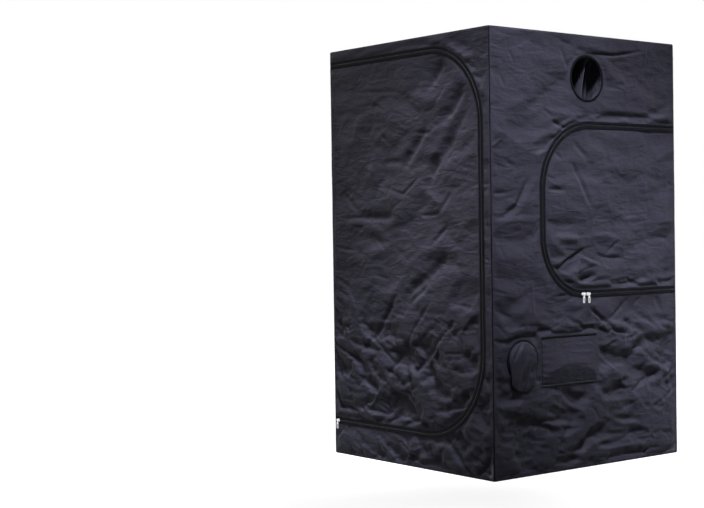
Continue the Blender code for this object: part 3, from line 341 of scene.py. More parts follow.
def carried(face, path, outward, profile, way=1):
    """A closed profile carried along a flat path: every point is the path's point plus the
    profile's first value times the outward direction, and its second value is w."""
    across = profile[:, 0]
    places = path[:, None, :] + way * outward[:, None, :] * across[None, :, None]
    rise = np.broadcast_to(profile[:, 1], places.shape[:2])
    return face.world(np.concatenate([places, rise[..., None]], -1))


def rounded_rim(half_x, half_y, corner, turns, count):
    """Even steps round a rectangle with round corners, and how far along each lies: four quarter
    circles joined by straight lines, then read at equal arc lengths."""
    turn = np.linspace(0, QUARTER, turns)
    outline = []
    for quarter, (way_x, way_y) in enumerate(CORNERS):
        angle = turn + quarter * QUARTER
        outline.append(np.stack([way_x * (half_x - corner) + corner * np.cos(angle),
                                 way_y * (half_y - corner) + corner * np.sin(angle)], -1))
    outline = np.concatenate(outline + [outline[0][:1]])
    along = np.concatenate([[0], np.cumsum(np.linalg.norm(np.diff(outline, axis=0), axis=1))])
    places = np.linspace(0, along[-1], count + 1)[:-1]
    rim = np.stack([np.interp(places, along, outline[:, 0]),
                    np.interp(places, along, outline[:, 1])], -1)
    return rim, places


def closed_sweep(name, rings, looks, wrap=False, flip=False, uv=None):
    """A closed solid from rings of points, with flat caps unless its path is a loop."""
    rows, columns = rings.shape[:2]
    quads = grid_quads(rows, columns, wrap, True)
    blocks = [quads]
    if not wrap:
        ring = np.arange(columns)
        blocks.append(np.array([ring[::-1], ring + (rows - 1) * columns]))
    if flip:
        blocks = [block[:, ::-1] for block in blocks]
    points = rings.reshape(-1, 3)
    flat = None if uv is None else uv.reshape(-1, 2)
    return make_mesh(name, points, blocks, looks, flat)


def smooth_rise(value, start, run):
    """0 below start, 1 past start plus run, and 3t squared less 2t cubed between."""
    share = np.clip((value - start) / run, 0, 1)
    return share * share * (3 - 2 * share)


LATTICE = 256  # whole corners of a noise before it repeats


def cloud(x, y, seed):
    """Gradient noise from about -1 to 1: every whole corner has a direction, and a point mixes
    the slopes of its four corners with a smooth fade."""
    angles = np.random.default_rng(seed).uniform(0, 2 * math.pi, (LATTICE, LATTICE))
    i = np.floor(x).astype(int)
    j = np.floor(y).astype(int)
    near_x = x - i
    near_y = y - j

    def slope(step_i, step_j):
        angle = angles[(i + step_i) % LATTICE, (j + step_j) % LATTICE]
        return np.cos(angle) * (near_x - step_i) + np.sin(angle) * (near_y - step_j)

    fade_x = near_x ** 3 * (near_x * (near_x * 6 - 15) + 10)
    fade_y = near_y ** 3 * (near_y * (near_y * 6 - 15) + 10)
    low = slope(0, 0) * (1 - fade_x) + slope(1, 0) * fade_x
    high = slope(0, 1) * (1 - fade_x) + slope(1, 1) * fade_x
    return 1.4 * (low * (1 - fade_y) + high * fade_y)


def facets(x, y, seed):
    """Crumpled surface from -1 to 1: whole corners have heights, and each square between them is
    two flat triangles, split one way or the other. Noise first shifts the places a little."""
    chance = np.random.default_rng(seed)
    heights = chance.uniform(-1, 1, (LATTICE, LATTICE))
    ways = chance.random((LATTICE, LATTICE)) < 0.5
    x = x + 0.35 * cloud(0.6 * x, 0.6 * y, seed + 100)
    y = y + 0.35 * cloud(0.6 * x + 40, 0.6 * y, seed + 101)
    i = np.floor(x).astype(int)
    j = np.floor(y).astype(int)
    corners = [heights[(i + a) % LATTICE, (j + b) % LATTICE]
               for a, b in ((0, 0), (1, 0), (0, 1), (1, 1))]
    way = ways[i % LATTICE, j % LATTICE]
    here = np.where(way, corners[0], corners[1])
    next_x = np.where(way, corners[1], corners[0])
    next_y = np.where(way, corners[2], corners[3])
    far = np.where(way, corners[3], corners[2])
    run_x = np.where(way, x - i, 1 - (x - i))
    run_y = y - j
    near = here + (next_x - here) * run_x + (next_y - here) * run_y
    other = far + (next_y - far) * (1 - run_x) + (next_x - far) * (1 - run_y)
    return np.where(run_x + run_y < 1, near, other)


# Cloth of a wall: listed folds, then slack threads that relax on the frame

# Folds that a wall starts from, in millimetres: the points of a line, how far the fold reaches below
# and above the line, and how far it stands out at the line, below zero for a valley.
FRONT_FOLDS = (
    ((-360, 1786, -80, 1770, 0, 1745), 14, 12, -3), ((-250, 1720, -140, 1680), 12, 10, -3),
    ((-550, 1685, -330, 1700, -100, 1740), 60, 30, -5), ((-210, 1600, -120, 1520), 14, 12, -4),
    ((300, 1890, 220, 1810, 160, 1760), 40, 34, -9), ((430, 1750, 330, 1640, 250, 1600), 30, 60, -10),
    ((145, 1575, 60, 1490, -20, 1410), 40, 38, -11), ((60, 1570, 200, 1562), 12, 10, -4),
    ((460, 1690, 330, 1520, 220, 1410, 140, 1290), 80, 52, -11), ((-170, 1440, -20, 1440), 30, 22, -6),
    ((-500, 1300, -380, 1210), 22, 16, -5), ((-520, 1176, -340, 1178), 16, 14, -4),
    ((-360, 1178, -100, 1182), 40, 44, -12), ((120, 1185, 250, 1190), 12, 10, -4),
    ((-180, 1325, -20, 1285, 100, 1360), 16, 12, -4), ((-270, 1100, -170, 1030), 20, 16, -4),
    ((-570, 1035, -420, 1020), 14, 12, -4), ((300, 1130, 200, 1060), 24, 18, -5),
    ((320, 1280, 250, 1200), 24, 16, -4), ((300, 1000, 170, 910, 60, 860, 0, 800), 60, 34, -9),
    ((370, 940, 260, 790, 170, 700, 20, 560), 70, 90, 13),
    ((470, 850, 370, 750, 260, 600, 130, 460, 60, 330), 80, 34, -9), ((340, 780, 420, 770), 12, 10, -3),
    ((240, 710, 340, 670), 14, 12, -4), ((200, 395, 320, 410, 430, 395), 40, 110, 14),
    ((200, 310, 300, 305, 400, 312), 46, 20, -8), ((270, 553, 480, 563), 9, 8, -3),
    ((200, 470, 280, 455), 14, 16, -5), ((240, 250, 410, 252), 16, 20, 6),
    ((20, 200, 160, 200, 300, 212), 16, 14, 5), ((-520, 617, -420, 650, -350, 690), 12, 10, 5),
    ((-580, 600, -460, 590, -340, 575), 20, 16, -6), ((-470, 575, -330, 552, -160, 545), 26, 26, -9),
    ((-570, 675, -400, 668), 30, 24, 8), ((-570, 530, -420, 465, -270, 395), 46, 42, 13),
    ((-590, 430, -460, 380, -300, 345), 32, 26, 9), ((-320, 680, -160, 675, 0, 690), 22, 14, 6),
    ((-160, 620, 0, 600), 20, 16, -5), ((-200, 550, -60, 500), 26, 24, 6),
    ((-120, 405, 40, 395), 70, 40, 9), ((30, 460, 90, 370), 14, 12, 4), ((0, 270, 190, 370), 14, 14, 5),
    ((-300, 330, -100, 300), 26, 20, 6), ((-460, 250, -300, 225, -120, 210), 22, 18, 6),
    ((-60, 245, 180, 228), 16, 16, 5), ((-570, 880, -460, 840), 18, 14, -5),
    ((-570, 770, -500, 745, -440, 700), 22, 18, -6), ((-550, 820, -470, 790), 14, 12, -3),
    ((-250, 900, -150, 885), 12, 10, -3), ((150, 850, 20, 775), 26, 24, -6),
    ((-190, 775, -100, 745), 14, 12, -4), ((-120, 730, 0, 710), 14, 12, -4),
    ((-570, 140, -440, 75, -320, 20), 44, 34, 12), ((-360, 135, -220, 80, -90, 20), 42, 34, 12),
    ((-130, 140, 20, 80, 160, 30), 40, 30, 11), ((120, 135, 280, 85, 400, 30), 38, 30, 11),
    ((320, 165, 450, 125, 570, 80), 34, 24, 8), ((440, 95, 570, 50), 22, 18, 5),
    ((545, 750, 575, 700), 12, 10, -3), ((550, 1160, 580, 1110), 12, 10, -4),
    ((545, 990, 580, 970), 12, 10, -4), ((530, 550, 570, 620), 14, 10, 3),
)
SIDE_FOLDS = (
    ((30, 1916, 180, 1921, 370, 1950), 8, 11, -9), ((-170, 1968, -80, 1945), 11, 10, -4),
    ((-160, 1930, -130, 1870, -100, 1830), 20, 16, -6), ((330, 1965, 570, 1975), 24, 14, 5),
    ((-220, 1598, -130, 1560), 13, 12, -6), ((-80, 1500, -40, 1470, 0, 1440), 22, 18, -7),
    ((-100, 1420, -40, 1320, 10, 1220), 22, 18, -7), ((-260, 1350, -210, 1330), 11, 10, -4),
    ((-260, 1288, -150, 1292), 18, 26, -8), ((-210, 1455, -160, 1430), 12, 10, -4),
    ((-200, 1075, -60, 1065), 42, 26, 11), ((-180, 1015, -40, 1010), 12, 10, -4),
    ((20, 1080, 120, 1078, 220, 1060), 56, 24, 6), ((50, 995, 100, 975, 240, 970), 14, 12, -4),
    ((130, 1000, 200, 1055), 12, 10, -4), ((140, 860, 260, 870, 340, 830), 14, 12, -4),
    ((-235, 955, -170, 945, -100, 970), 30, 26, 9), ((-215, 900, -140, 874, -70, 862), 10, 34, 9),
    ((-225, 925, -130, 975, -30, 1020), 84, 9, -13), ((-60, 990, 0, 960, 70, 945), 30, 10, 8),
    ((-50, 975, -85, 880), 14, 14, 8), ((-80, 865, -30, 870, 40, 890), 14, 60, -13),
    ((-50, 870, 40, 860), 14, 12, -4), ((-250, 900, -120, 815), 12, 10, -3),
    ((-220, 800, -110, 803), 11, 10, -5), ((-150, 775, -80, 765, 0, 772), 34, 14, 8),
    ((20, 760, 50, 790), 12, 10, -3), ((-600, 1272, -500, 1275), 14, 12, -5),
    ((-370, 1340, -440, 1220, -520, 1170, -600, 1160), 30, 24, -8),
    ((-320, 1140, -350, 1080), 12, 10, 4), ((-550, 745, -480, 720), 11, 10, -4),
    ((-400, 680, -280, 675), 13, 12, -4), ((-360, 880, -360, 680), 20, 16, 5),
    ((-460, 870, -400, 855), 12, 10, -3), ((-600, 840, -520, 830), 12, 10, -3),
    ((80, 668, 180, 655, 310, 635), 40, 22, 9), ((110, 675, 190, 715, 280, 785), 14, 14, -6),
    ((300, 730, 350, 790), 18, 14, -5), ((200, 585, 310, 595), 13, 12, -5),
    ((280, 535, 360, 545), 13, 12, -5), ((450, 790, 500, 700), 22, 18, -6),
    ((520, 830, 590, 860), 14, 12, -4), ((550, 1330, 580, 1310), 12, 10, -4),
    ((470, 1070, 570, 1050), 20, 16, -4), ((100, 505, 190, 410, 270, 335), 14, 18, 6),
    ((270, 335, 350, 260, 430, 180), 16, 16, 7), ((450, 510, 520, 420, 560, 300, 590, 220), 20, 16, 7),
    ((530, 470, 570, 450), 14, 12, -5), ((280, 330, 360, 375, 450, 405), 20, 18, -8),
    ((60, 440, 120, 425), 30, 16, 6), ((100, 360, 240, 345), 20, 14, 6),
    ((0, 300, 120, 305, 260, 295), 62, 26, 13), ((100, 210, 240, 200, 370, 205), 24, 20, -6),
    ((360, 310, 460, 200), 30, 22, 8), ((-590, 325, -360, 320, -180, 320), 16, 22, 8),
    ((-180, 320, -40, 265, 100, 200), 28, 26, 9), ((-600, 275, -430, 270), 14, 16, -7),
    ((-600, 220, -500, 216, -420, 215), 16, 18, -8), ((-600, 168, -480, 140, -400, 120), 18, 14, 6),
    ((-320, 265, -440, 165, -560, 55), 14, 14, 6), ((-340, 235, -200, 225, -80, 200), 20, 18, 6),
    ((-140, 338, -20, 342, 60, 352), 13, 16, -8), ((-350, 172, -200, 160, -20, 155), 40, 18, 9),
    ((120, 170, 250, 150), 20, 16, 6), ((-520, 72, -300, 78, 0, 70, 300, 74, 570, 66), 34, 26, 10),
    ((200, 190, 400, 165, 580, 140), 46, 22, 9), ((460, 300, 570, 200), 26, 18, 7),
    ((500, 200, 580, 100), 20, 16, 6), ((-20, 120, 200, 115), 16, 14, 5),
    ((-600, 420, -540, 400), 16, 12, -5), ((-550, 360, -420, 350), 14, 12, -5),
    ((-300, 285, -220, 270), 12, 10, -4), ((-480, 1900, -460, 1860), 12, 10, -3),
    ((-280, 1655, -220, 1620), 12, 10, -3), ((250, 1170, 400, 1180), 12, 10, -3),
)
PLAIN_FOLDS = (
    ((-500, 1840, -330, 1500, -100, 1320), 50, 40, -6), ((460, 1740, 310, 1520, 220, 1400), 40, 50, -5),
    ((-440, 340, -100, 400, 160, 570), 50, 40, 8), ((500, 240, 300, 340, 100, 500), 40, 50, -8),
    ((-240, 860, -50, 930, 100, 1060), 40, 40, 5), ((-360, 520, -100, 380, 0, 260), 30, 26, 6),
    ((420, 940, 300, 800, 120, 710), 30, 24, -6), ((-500, 80, 0, 70, 500, 75), 34, 26, 8),
    ((-200, 1620, 20, 1580, 200, 1640), 24, 30, -5), ((-500, 1100, -360, 1050, -300, 960), 26, 22, -5),
)


def mirrored(folds):
    """Folds seen the other way round."""
    return [([part * (-1) ** (k + 1) for k, part in enumerate(line)], low, high, stand)
            for line, low, high, stand in folds]


# Folds that packing has pressed into a wall, in rows of a seed, how many there are, the share that
# lies low on the wall, the slant of those, and the scale of all
FRONT_PRESSED = ((12, 420, 0.5, -0.35, 1.0), (13, 80, 0.85, -0.4, 2.0), (14, 26, 1.0, 0.45, 3.2))
SIDE_PRESSED = ((42, 380, 0.45, -0.08, 1.0), (43, 70, 0.85, -0.1, 2.0), (44, 20, 1.0, -0.1, 3.0))
BACK_PRESSED = ((82, 300, 0.5, -0.3, 1.0), (83, 40, 0.8, -0.3, 2.4))
LEFT_PRESSED = ((92, 300, 0.5, 0.3, 1.0), (93, 40, 0.8, 0.3, 2.4))
# Where they lie: half the width, and the heights of the low ones and of the others
PRESSED_HALF = 0.58
PRESSED_LOW = (0.03, 0.68)
PRESSED_HIGH = (0.6, 1.97)
# How much longer, wider and higher a low one is
LOW_LONGER = 2.6
LOW_WIDER = 1.5
LOW_HIGHER = 2.0


def pressed_folds(seed, count, low_share, slant, scale):
    """Pressed folds as rows like the tables above, but with their lines in metres: half lie level,
    the others slant either way, and most of the low ones run down at their own slant."""
    chance = np.random.default_rng(seed)
    u = chance.uniform(-PRESSED_HALF, PRESSED_HALF, count)
    low = chance.random(count) < low_share
    v = np.where(low, chance.uniform(*PRESSED_LOW, count), chance.uniform(*PRESSED_HIGH, count))
    kind = chance.random(count)
    angle = np.where(kind < 0.55, chance.normal(0, 0.22, count),
                     np.where(kind < 0.8, chance.normal(0.8, 0.25, count),
                              chance.normal(-0.7, 0.25, count)))
    angle = np.where(low & (kind < 0.7), chance.normal(slant, 0.3, count), angle)
    length = scale * chance.uniform(0.015, 0.07, count) * np.where(low, LOW_LONGER, 1.0)
    reach = scale * chance.uniform(3.5, 9, count) * np.where(low, LOW_WIDER, 1.0)
    stand = chance.uniform(0.5, 2.0, count) * np.where(low, LOW_HIGHER, 1.0) * scale
    stand *= np.where(chance.random(count) < 0.6, -1, 1)
    lean = chance.uniform(0.7, 1.5, count)
    bend = chance.normal(0, 0.18, count)
    folds = []
    for i in range(count):
        half = 0.5 * length[i] * np.array([math.cos(angle[i] + bend[i]), math.sin(angle[i] + bend[i])])
        other = 0.5 * length[i] * np.array([math.cos(angle[i] - bend[i]), math.sin(angle[i] - bend[i])])
        line = (u[i] - half[0], v[i] - half[1], u[i], v[i], u[i] + other[0], v[i] + other[1])
        folds.append((line, reach[i] * lean[i], reach[i], stand[i]))
    return folds


def with_pressed(folds, pressed):
    """A wall's own folds, with their lines in metres, and then its pressed ones."""
    own = [([part / MM for part in line], low, high, stand) for line, low, high, stand in folds]
    return own + [fold for row in pressed for fold in pressed_folds(*row)]


# A starting fold's power across its line, what is left of its height at its ends, and what makes up
# for the height that relaxing takes
FOLD_POWER = 1.4
FOLD_ENDS = 0.15
FOLD_GAIN = 1.4


def fold_field(u, v, base, folds):
    """How far starting folds, with their lines in metres, stand out on a regular grid. Along its line
    a fold rises and falls as a sine; across it, it falls off as a power of what is left of its reach."""
    stands = np.zeros_like(u)
    cell_u = u[0, 1] - u[0, 0]
    cell_v = v[1, 0] - v[0, 0]
    for line, lower, upper, stand in folds:
        points = np.array(line, float).reshape(-1, 2)
        reach = max(lower, upper) / MM
        low_u, low_v = points.min(0) - reach
        high_u, high_v = points.max(0) + reach
        ranges = [slice(max(0, int((low - start) / cell)), max(0, int((high - start) / cell) + 2))
                  for low, high, start, cell in ((low_v, high_v, base, cell_v),
                                                 (low_u, high_u, u[0, 0], cell_u))]
        part = tuple(ranges)
        here_u, here_v = u[part], v[part]
        runs = np.diff(points, axis=0)
        spans = np.hypot(runs[:, 0], runs[:, 1])
        nearest = np.full(here_u.shape, np.inf)
        side = np.zeros_like(nearest)
        along = np.zeros_like(nearest)
        passed = 0.0
        for start, run, span in zip(points, runs, spans):
            across, rise = here_u - start[0], here_v - start[1]
            share = np.clip((across * run[0] + rise * run[1]) / span ** 2, 0, 1)
            away = np.hypot(across - share * run[0], rise - share * run[1])
            nearer = away < nearest
            nearest = np.where(nearer, away, nearest)
            turned = (rise * run[0] - across * run[1]) * (1 if run[0] >= 0 else -1)
            side = np.where(nearer, turned, side)
            along = np.where(nearer, passed + share * span, along)
            passed += span
        width = np.where(side > 0, upper, lower) / MM
        left = np.clip(1 - nearest / width, 0, 1) ** FOLD_POWER
        arch = np.sin(math.pi * np.clip(along / passed, 0, 1)) ** 0.6
        taper = FOLD_ENDS + (1 - FOLD_ENDS) * arch
        stands[part] += FOLD_GAIN * stand / MM * left * taper
    return stands


def thread_ends(grid, start, step_i, step_j):
    """Near and far ends of every second thread of a family, as views of the grid."""
    rows, columns = grid.shape[:2]
    near_columns = slice(max(0, -step_j), columns - max(0, step_j))
    far_columns = slice(max(0, step_j), columns + min(0, step_j))
    if step_i:
        near_rows = slice(start, rows - step_i, 2 * step_i)
        far_rows = slice(start + step_i, rows, 2 * step_i)
        return grid[near_rows, near_columns], grid[far_rows, far_columns]
    near_columns = slice(start, columns - step_j, 2 * step_j)
    far_columns = slice(start + step_j, columns, 2 * step_j)
    return grid[:, near_columns], grid[:, far_columns]


def pull(points, loose, step_i, step_j, lengths, give):
    """Move the two ends of each thread of a family along it, towards the thread's own length."""
    for start in range(2 * max(step_i, abs(step_j))):
        near, far = thread_ends(points, start, step_i, step_j)
        near_loose, far_loose = thread_ends(loose, start, step_i, step_j)
        gap = far - near
        span = np.sqrt((gap * gap).sum(-1, keepdims=True))
        wanted = lengths[step_i, step_j, start]
        move = gap * (give * (1 - wanted / span) / np.maximum(near_loose + far_loose, 1))
        near += move * near_loose
        far -= move * far_loose


def resampled(field, count, axis):
    """A field given another number of lines along one axis, by cubic curves through its values."""
    lines = np.moveaxis(field, axis, 0)
    last = len(lines) - 1
    places = np.linspace(0, last, count)
    i = np.minimum(places.astype(int), last - 1)
    t = (places - i).reshape(-1, *[1] * (lines.ndim - 1))
    before = lines[np.maximum(i - 1, 0)]
    here = lines[i]
    after = lines[i + 1]
    beyond = lines[np.minimum(i + 2, last)]
    made = here + 0.5 * t * (after - before + t * (
        2 * before - 5 * here + 4 * after - beyond + t * (3 * (here - after) + beyond - before)))
    return np.moveaxis(made, 0, axis)


def wall_grid(width, height, cell, base):
    """Even grid over a wall."""
    rows = round(height / cell) + 1
    columns = round(width / cell) + 1
    return np.meshgrid(np.linspace(-width / 2, width / 2, columns),
                       np.linspace(base, base + height, rows))


# Families of threads by their steps, each with the share of its error that one round puts right
FAMILIES = (((0, 1), 0.9), ((1, 0), 0.9), ((1, 1), 0.3), ((1, -1), 0.3), ((0, 2), 0.05), ((2, 0), 0.05))
# Height of the pressed facets on each grid, and their width and height in cells
FACET_LEVELS = (1.8, 1.0, 0.5)
FACET_WIDE = 5.5
FACET_HIGH = 3.4
# How far a free point sinks in a round on the coarsest grid, and over what distance from a held
# edge the cloth gets its full freedom
SINK = 0.00008
FREE_RUN = 0.05
# What the cloth may dip and lift at a held edge
EDGE_DIP = 0.0025
EDGE_LIFT = 0.0005


def relaxed_wall(cloth, width, height, folds, room_of, seed, levels, base=0.0):
    """A wall's cloth, as moves from its flat grid. It starts with its folds and pressed facets, which
    are higher low on the wall, and its threads are as long as they are in them plus a little slack.
    Held at its edges, it sinks a little each round and is pulled back to its lengths, on a coarse
    grid and then on finer ones, between two limits."""
    moved = None
    for level, (cell, rounds, scale) in enumerate(levels):
        u, v = wall_grid(width, height, cell, base)
        rows, columns = u.shape
        room = room_of(u, v)
        part = [fold for fold in folds if scale[0] <= min(fold[1], fold[2]) < scale[1]]
        shape = fold_field(u, v, base, part)
        low = 1 - smooth_rise((v - base) / height, 0.18, 0.3)
        leaf = facets(u / (FACET_WIDE * cell), v / (FACET_HIGH * cell), seed + level)
        shape += cloth.crumple * FACET_LEVELS[level] * cell * leaf * (0.6 + 1.2 * low)
        if moved is None:
            moved = np.zeros((rows, columns, 3))
        else:
            moved = resampled(resampled(moved, rows, 0), columns, 1)
        loose = (room > 0).astype(float)[..., None]
        moved[..., 2] += shape
        flat = np.stack([u, v, 0 * u], -1)
        points = flat + moved * loose
        freedom = smooth_rise(room, 0, FREE_RUN)
        lowest = -cloth.fold_depth * freedom - EDGE_DIP * (room > 0)
        highest = cloth.swell * freedom + EDGE_LIFT * (room > 0)
        np.clip(points[..., 2], lowest, highest, out=points[..., 2])
        lengths = {}
        for (step_i, step_j), _ in FAMILIES:
            for start in range(2 * max(step_i, abs(step_j))):
                near, far = thread_ends(points, start, step_i, step_j)
                span = np.sqrt(((far - near) ** 2).sum(-1, keepdims=True))
                lengths[step_i, step_j, start] = span * (1 + cloth.slack)
        sink = SINK / 2 ** level * loose[..., 0]
        for _ in range(rounds):
            points[..., 1] -= sink
            for (step_i, step_j), give in FAMILIES:
                pull(points, loose, step_i, step_j, lengths, give)
            np.clip(points[..., 2], lowest, highest, out=points[..., 2])
        moved = points - flat
    return moved


# Small creases by falling size: width and height of their noise in metres, and how high they are
CREASES = ((0.075, 0.04, 1.2), (0.04, 0.022, 0.45), (0.020, 0.013, 0.12))


def fine_wall(cloth, moved, width, height, cell, room_of, seed, base=0.0):
    """The relaxed wall on its last grid, with small creases: three warped noise fields of falling
    size, each without its sign, so that a sharp valley lies where one passes zero. The creases
    are deeper low on the wall and in some patches."""
    u, v = wall_grid(width, height, cell, base)
    moved = resampled(resampled(moved, len(u), 0), u.shape[1], 1)
    warp_u = u + 0.02 * cloud(u / 0.09, v / 0.09, seed)
    warp_v = v + 0.02 * cloud(u / 0.11, v / 0.10, seed + 1)
    total = sum(rise * np.abs(cloud(warp_u / wide, warp_v / high, seed + 2 + number))
                for number, (wide, high, rise) in enumerate(CREASES))
    patch = smooth_rise(cloud(u / 0.22, v / 0.16, seed + 5), -0.4, 0.8)
    low = 0.3 + 0.7 * (1 - smooth_rise((v - base) / height, 0.2, 0.25))
    crease = (total - 0.5) * (0.25 + 0.75 * patch)
    moved[..., 2] += cloth.crease * low * crease * smooth_rise(room_of(u, v), 0, 0.02)
    return u, v, moved


def everywhere(u, v):
    """A keep distance that keeps a whole sheet."""
    return np.ones_like(u)


def cut_sheet(name, face, u, v, moved, keep, looks):
    """The cells of a wall whose middle is kept, with the points on the cut's edge moved along the
    slope of the keep distance until it is zero there."""
    rows, columns = u.shape
    quads = grid_quads(rows, columns)
    amount = keep(u, v).ravel()
    kept = amount[quads].mean(1) > 0
    inside = np.zeros(rows * columns, bool)
    outside = np.zeros(rows * columns, bool)
    inside[quads[kept].ravel()] = True
    outside[quads[~kept].ravel()] = True
    step = 1e-4
    slope_u = (keep(u + step, v) - keep(u - step, v)).ravel() / (2 * step)
    slope_v = (keep(u, v + step) - keep(u, v - step)).ravel() / (2 * step)
    rim = inside & outside
    points = (np.stack([u, v, 0 * u], -1) + moved).reshape(-1, 3)
    points[rim, 0] -= amount[rim] * slope_u[rim]
    points[rim, 1] -= amount[rim] * slope_v[rim]
    renumber = np.cumsum(inside) - 1
    uv = np.stack([u.ravel(), v.ravel()], -1)[inside]
    return make_mesh(name, face.world(points[inside]), [renumber[quads[kept]]], looks, uv)


def edge_room(u, v, width, height, base=0.0):
    """Distance from the nearest edge of a wall."""
    return np.minimum(width / 2 - np.abs(u), np.minimum(v - base, base + height - v))


def rectangle_distance(u, v, low_u, low_v, high_u, high_v):
    """How far a point lies outside a rectangle, below zero inside."""
    return np.maximum(np.maximum(low_u - u, u - high_u), np.maximum(low_v - v, v - high_v))


# Node groups and materials

def feed(tree, socket, value):
    """Give an input a value, or link another node's output to it."""
    if isinstance(value, bpy.types.NodeSocket):
        tree.links.new(value, socket)
    else:
        socket.default_value = value


def add_node(tree, kind, links=(), **settings):
    """A node with its settings, its inputs given as numbers or as other nodes' outputs."""
    node = tree.nodes.new(kind)
    for name, value in settings.items():
        setattr(node, name, value)
    for key, value in dict(links).items():
        feed(tree, node.inputs[key], value)
    return node


def new_group(name, inputs, outputs):
    """An empty shader node group with named inputs and outputs."""
    tree = bpy.data.node_groups.new(name, "ShaderNodeTree")
    for label, kind, value in inputs:
        socket = tree.interface.new_socket(label, in_out="INPUT", socket_type=kind)
        if value is not None:
            socket.default_value = value
    for label in outputs:
        tree.interface.new_socket(label, in_out="OUTPUT", socket_type="NodeSocketFloat")
    return tree, tree.nodes.new("NodeGroupInput"), tree.nodes.new("NodeGroupOutput")


def math_node(tree, operation, first, second=0.0, third=0.0):
    """Result of a Math node."""
    links = {0: first, 1: second, 2: third}
    return add_node(tree, "ShaderNodeMath", links, operation=operation).outputs[0]


def weave_group():
    """Plain weave: threads one way show where two sine waves have like signs, and threads the
    other way show elsewhere. Height is the round of the thread on top, Shade its own tint."""
    tree, given, made = new_group("Plain weave", [
        ("Vector", "NodeSocketVector", None), ("Pitch", "NodeSocketFloat", 0.001)], ["Height", "Shade"])
    parts = add_node(tree, "ShaderNodeSeparateXYZ", {0: given.outputs["Vector"]})
    turn = math_node(tree, "DIVIDE", math.pi, given.outputs["Pitch"])
    warp = math_node(tree, "SINE", math_node(tree, "MULTIPLY", parts.outputs[0], turn))
    weft = math_node(tree, "SINE", math_node(tree, "MULTIPLY", parts.outputs[1], turn))
    over = math_node(tree, "GREATER_THAN", math_node(tree, "MULTIPLY", warp, weft), 0.0)
    warp_round = math_node(tree, "ABSOLUTE", warp)
    weft_round = math_node(tree, "ABSOLUTE", weft)
    spread = math_node(tree, "SUBTRACT", warp_round, weft_round)
    height = math_node(tree, "MULTIPLY_ADD", over, spread, weft_round)
    tree.links.new(height, made.inputs["Height"])
    tree.links.new(over, made.inputs["Shade"])
    return tree


def crumple_group():
    """Small pressed creases: the distance to the borders of warped cells, which rises quickly and
    then stays level, with a finer noise on it."""
    tree, given, made = new_group("Crumple", [
        ("Vector", "NodeSocketVector", None), ("Size", "NodeSocketFloat", 0.03)], ["Height"])
    scale = math_node(tree, "DIVIDE", 1.0, given.outputs["Size"])
    warp = add_node(tree, "ShaderNodeTexNoise", {
        "Vector": given.outputs["Vector"], "Scale": scale, "Detail": 3.0})
    shift = add_node(tree, "ShaderNodeVectorMath", {0: warp.outputs["Color"], 1: (0.5, 0.5, 0.5)},
                     operation="SUBTRACT")
    reach = add_node(tree, "ShaderNodeVectorMath", {0: shift.outputs[0]}, operation="SCALE")
    tree.links.new(given.outputs["Size"], reach.inputs["Scale"])
    moved = add_node(tree, "ShaderNodeVectorMath", {0: given.outputs["Vector"], 1: reach.outputs[0]},
                     operation="ADD")
    cells = add_node(tree, "ShaderNodeTexVoronoi", {"Vector": moved.outputs[0], "Scale": scale},
                     feature="DISTANCE_TO_EDGE")
    flat = add_node(tree, "ShaderNodeMapRange", {
        "Value": cells.outputs["Distance"], "From Min": 0.0, "From Max": 0.35},
        interpolation_type="SMOOTHERSTEP")
    grain = add_node(tree, "ShaderNodeTexNoise", {
        "Vector": moved.outputs[0], "Scale": math_node(tree, "MULTIPLY", scale, 4.0), "Detail": 4.0})
    height = math_node(tree, "MULTIPLY_ADD", grain.outputs[0], 0.5, flat.outputs[0])
    tree.links.new(height, made.inputs["Height"])
    return tree


def mottle_group():
    """Uneven dye and rubbed places: two noises, a broad one and a fine one, as a mask."""
    tree, given, made = new_group("Mottle", [
        ("Vector", "NodeSocketVector", None), ("Size", "NodeSocketFloat", 0.2)], ["Mask"])
    scale = math_node(tree, "DIVIDE", 1.0, given.outputs["Size"])
    broad = add_node(tree, "ShaderNodeTexNoise", {
        "Vector": given.outputs["Vector"], "Scale": scale, "Detail": 5.0, "Roughness": 0.6})
    fine = add_node(tree, "ShaderNodeTexNoise", {
        "Vector": given.outputs["Vector"], "Scale": math_node(tree, "MULTIPLY", scale, 9.0),
        "Detail": 3.0})
    both = math_node(tree, "MULTIPLY_ADD", fine.outputs[0], 0.35, broad.outputs[0])
    mask = add_node(tree, "ShaderNodeMapRange", {"Value": both, "From Min": 0.45, "From Max": 0.9})
    tree.links.new(mask.outputs[0], made.inputs["Mask"])
    return tree


def placed_group(tree, name, **values):
    """One of the shared groups in a material, with its values."""
    node = add_node(tree, "ShaderNodeGroup", node_tree=bpy.data.node_groups[name])
    for label, value in values.items():
        feed(tree, node.inputs[label], value)
    return node


def scaled(colour, factor):
    """A colour times a factor, with full alpha."""
    return (*[min(1.0, part * factor) for part in colour], 1.0)


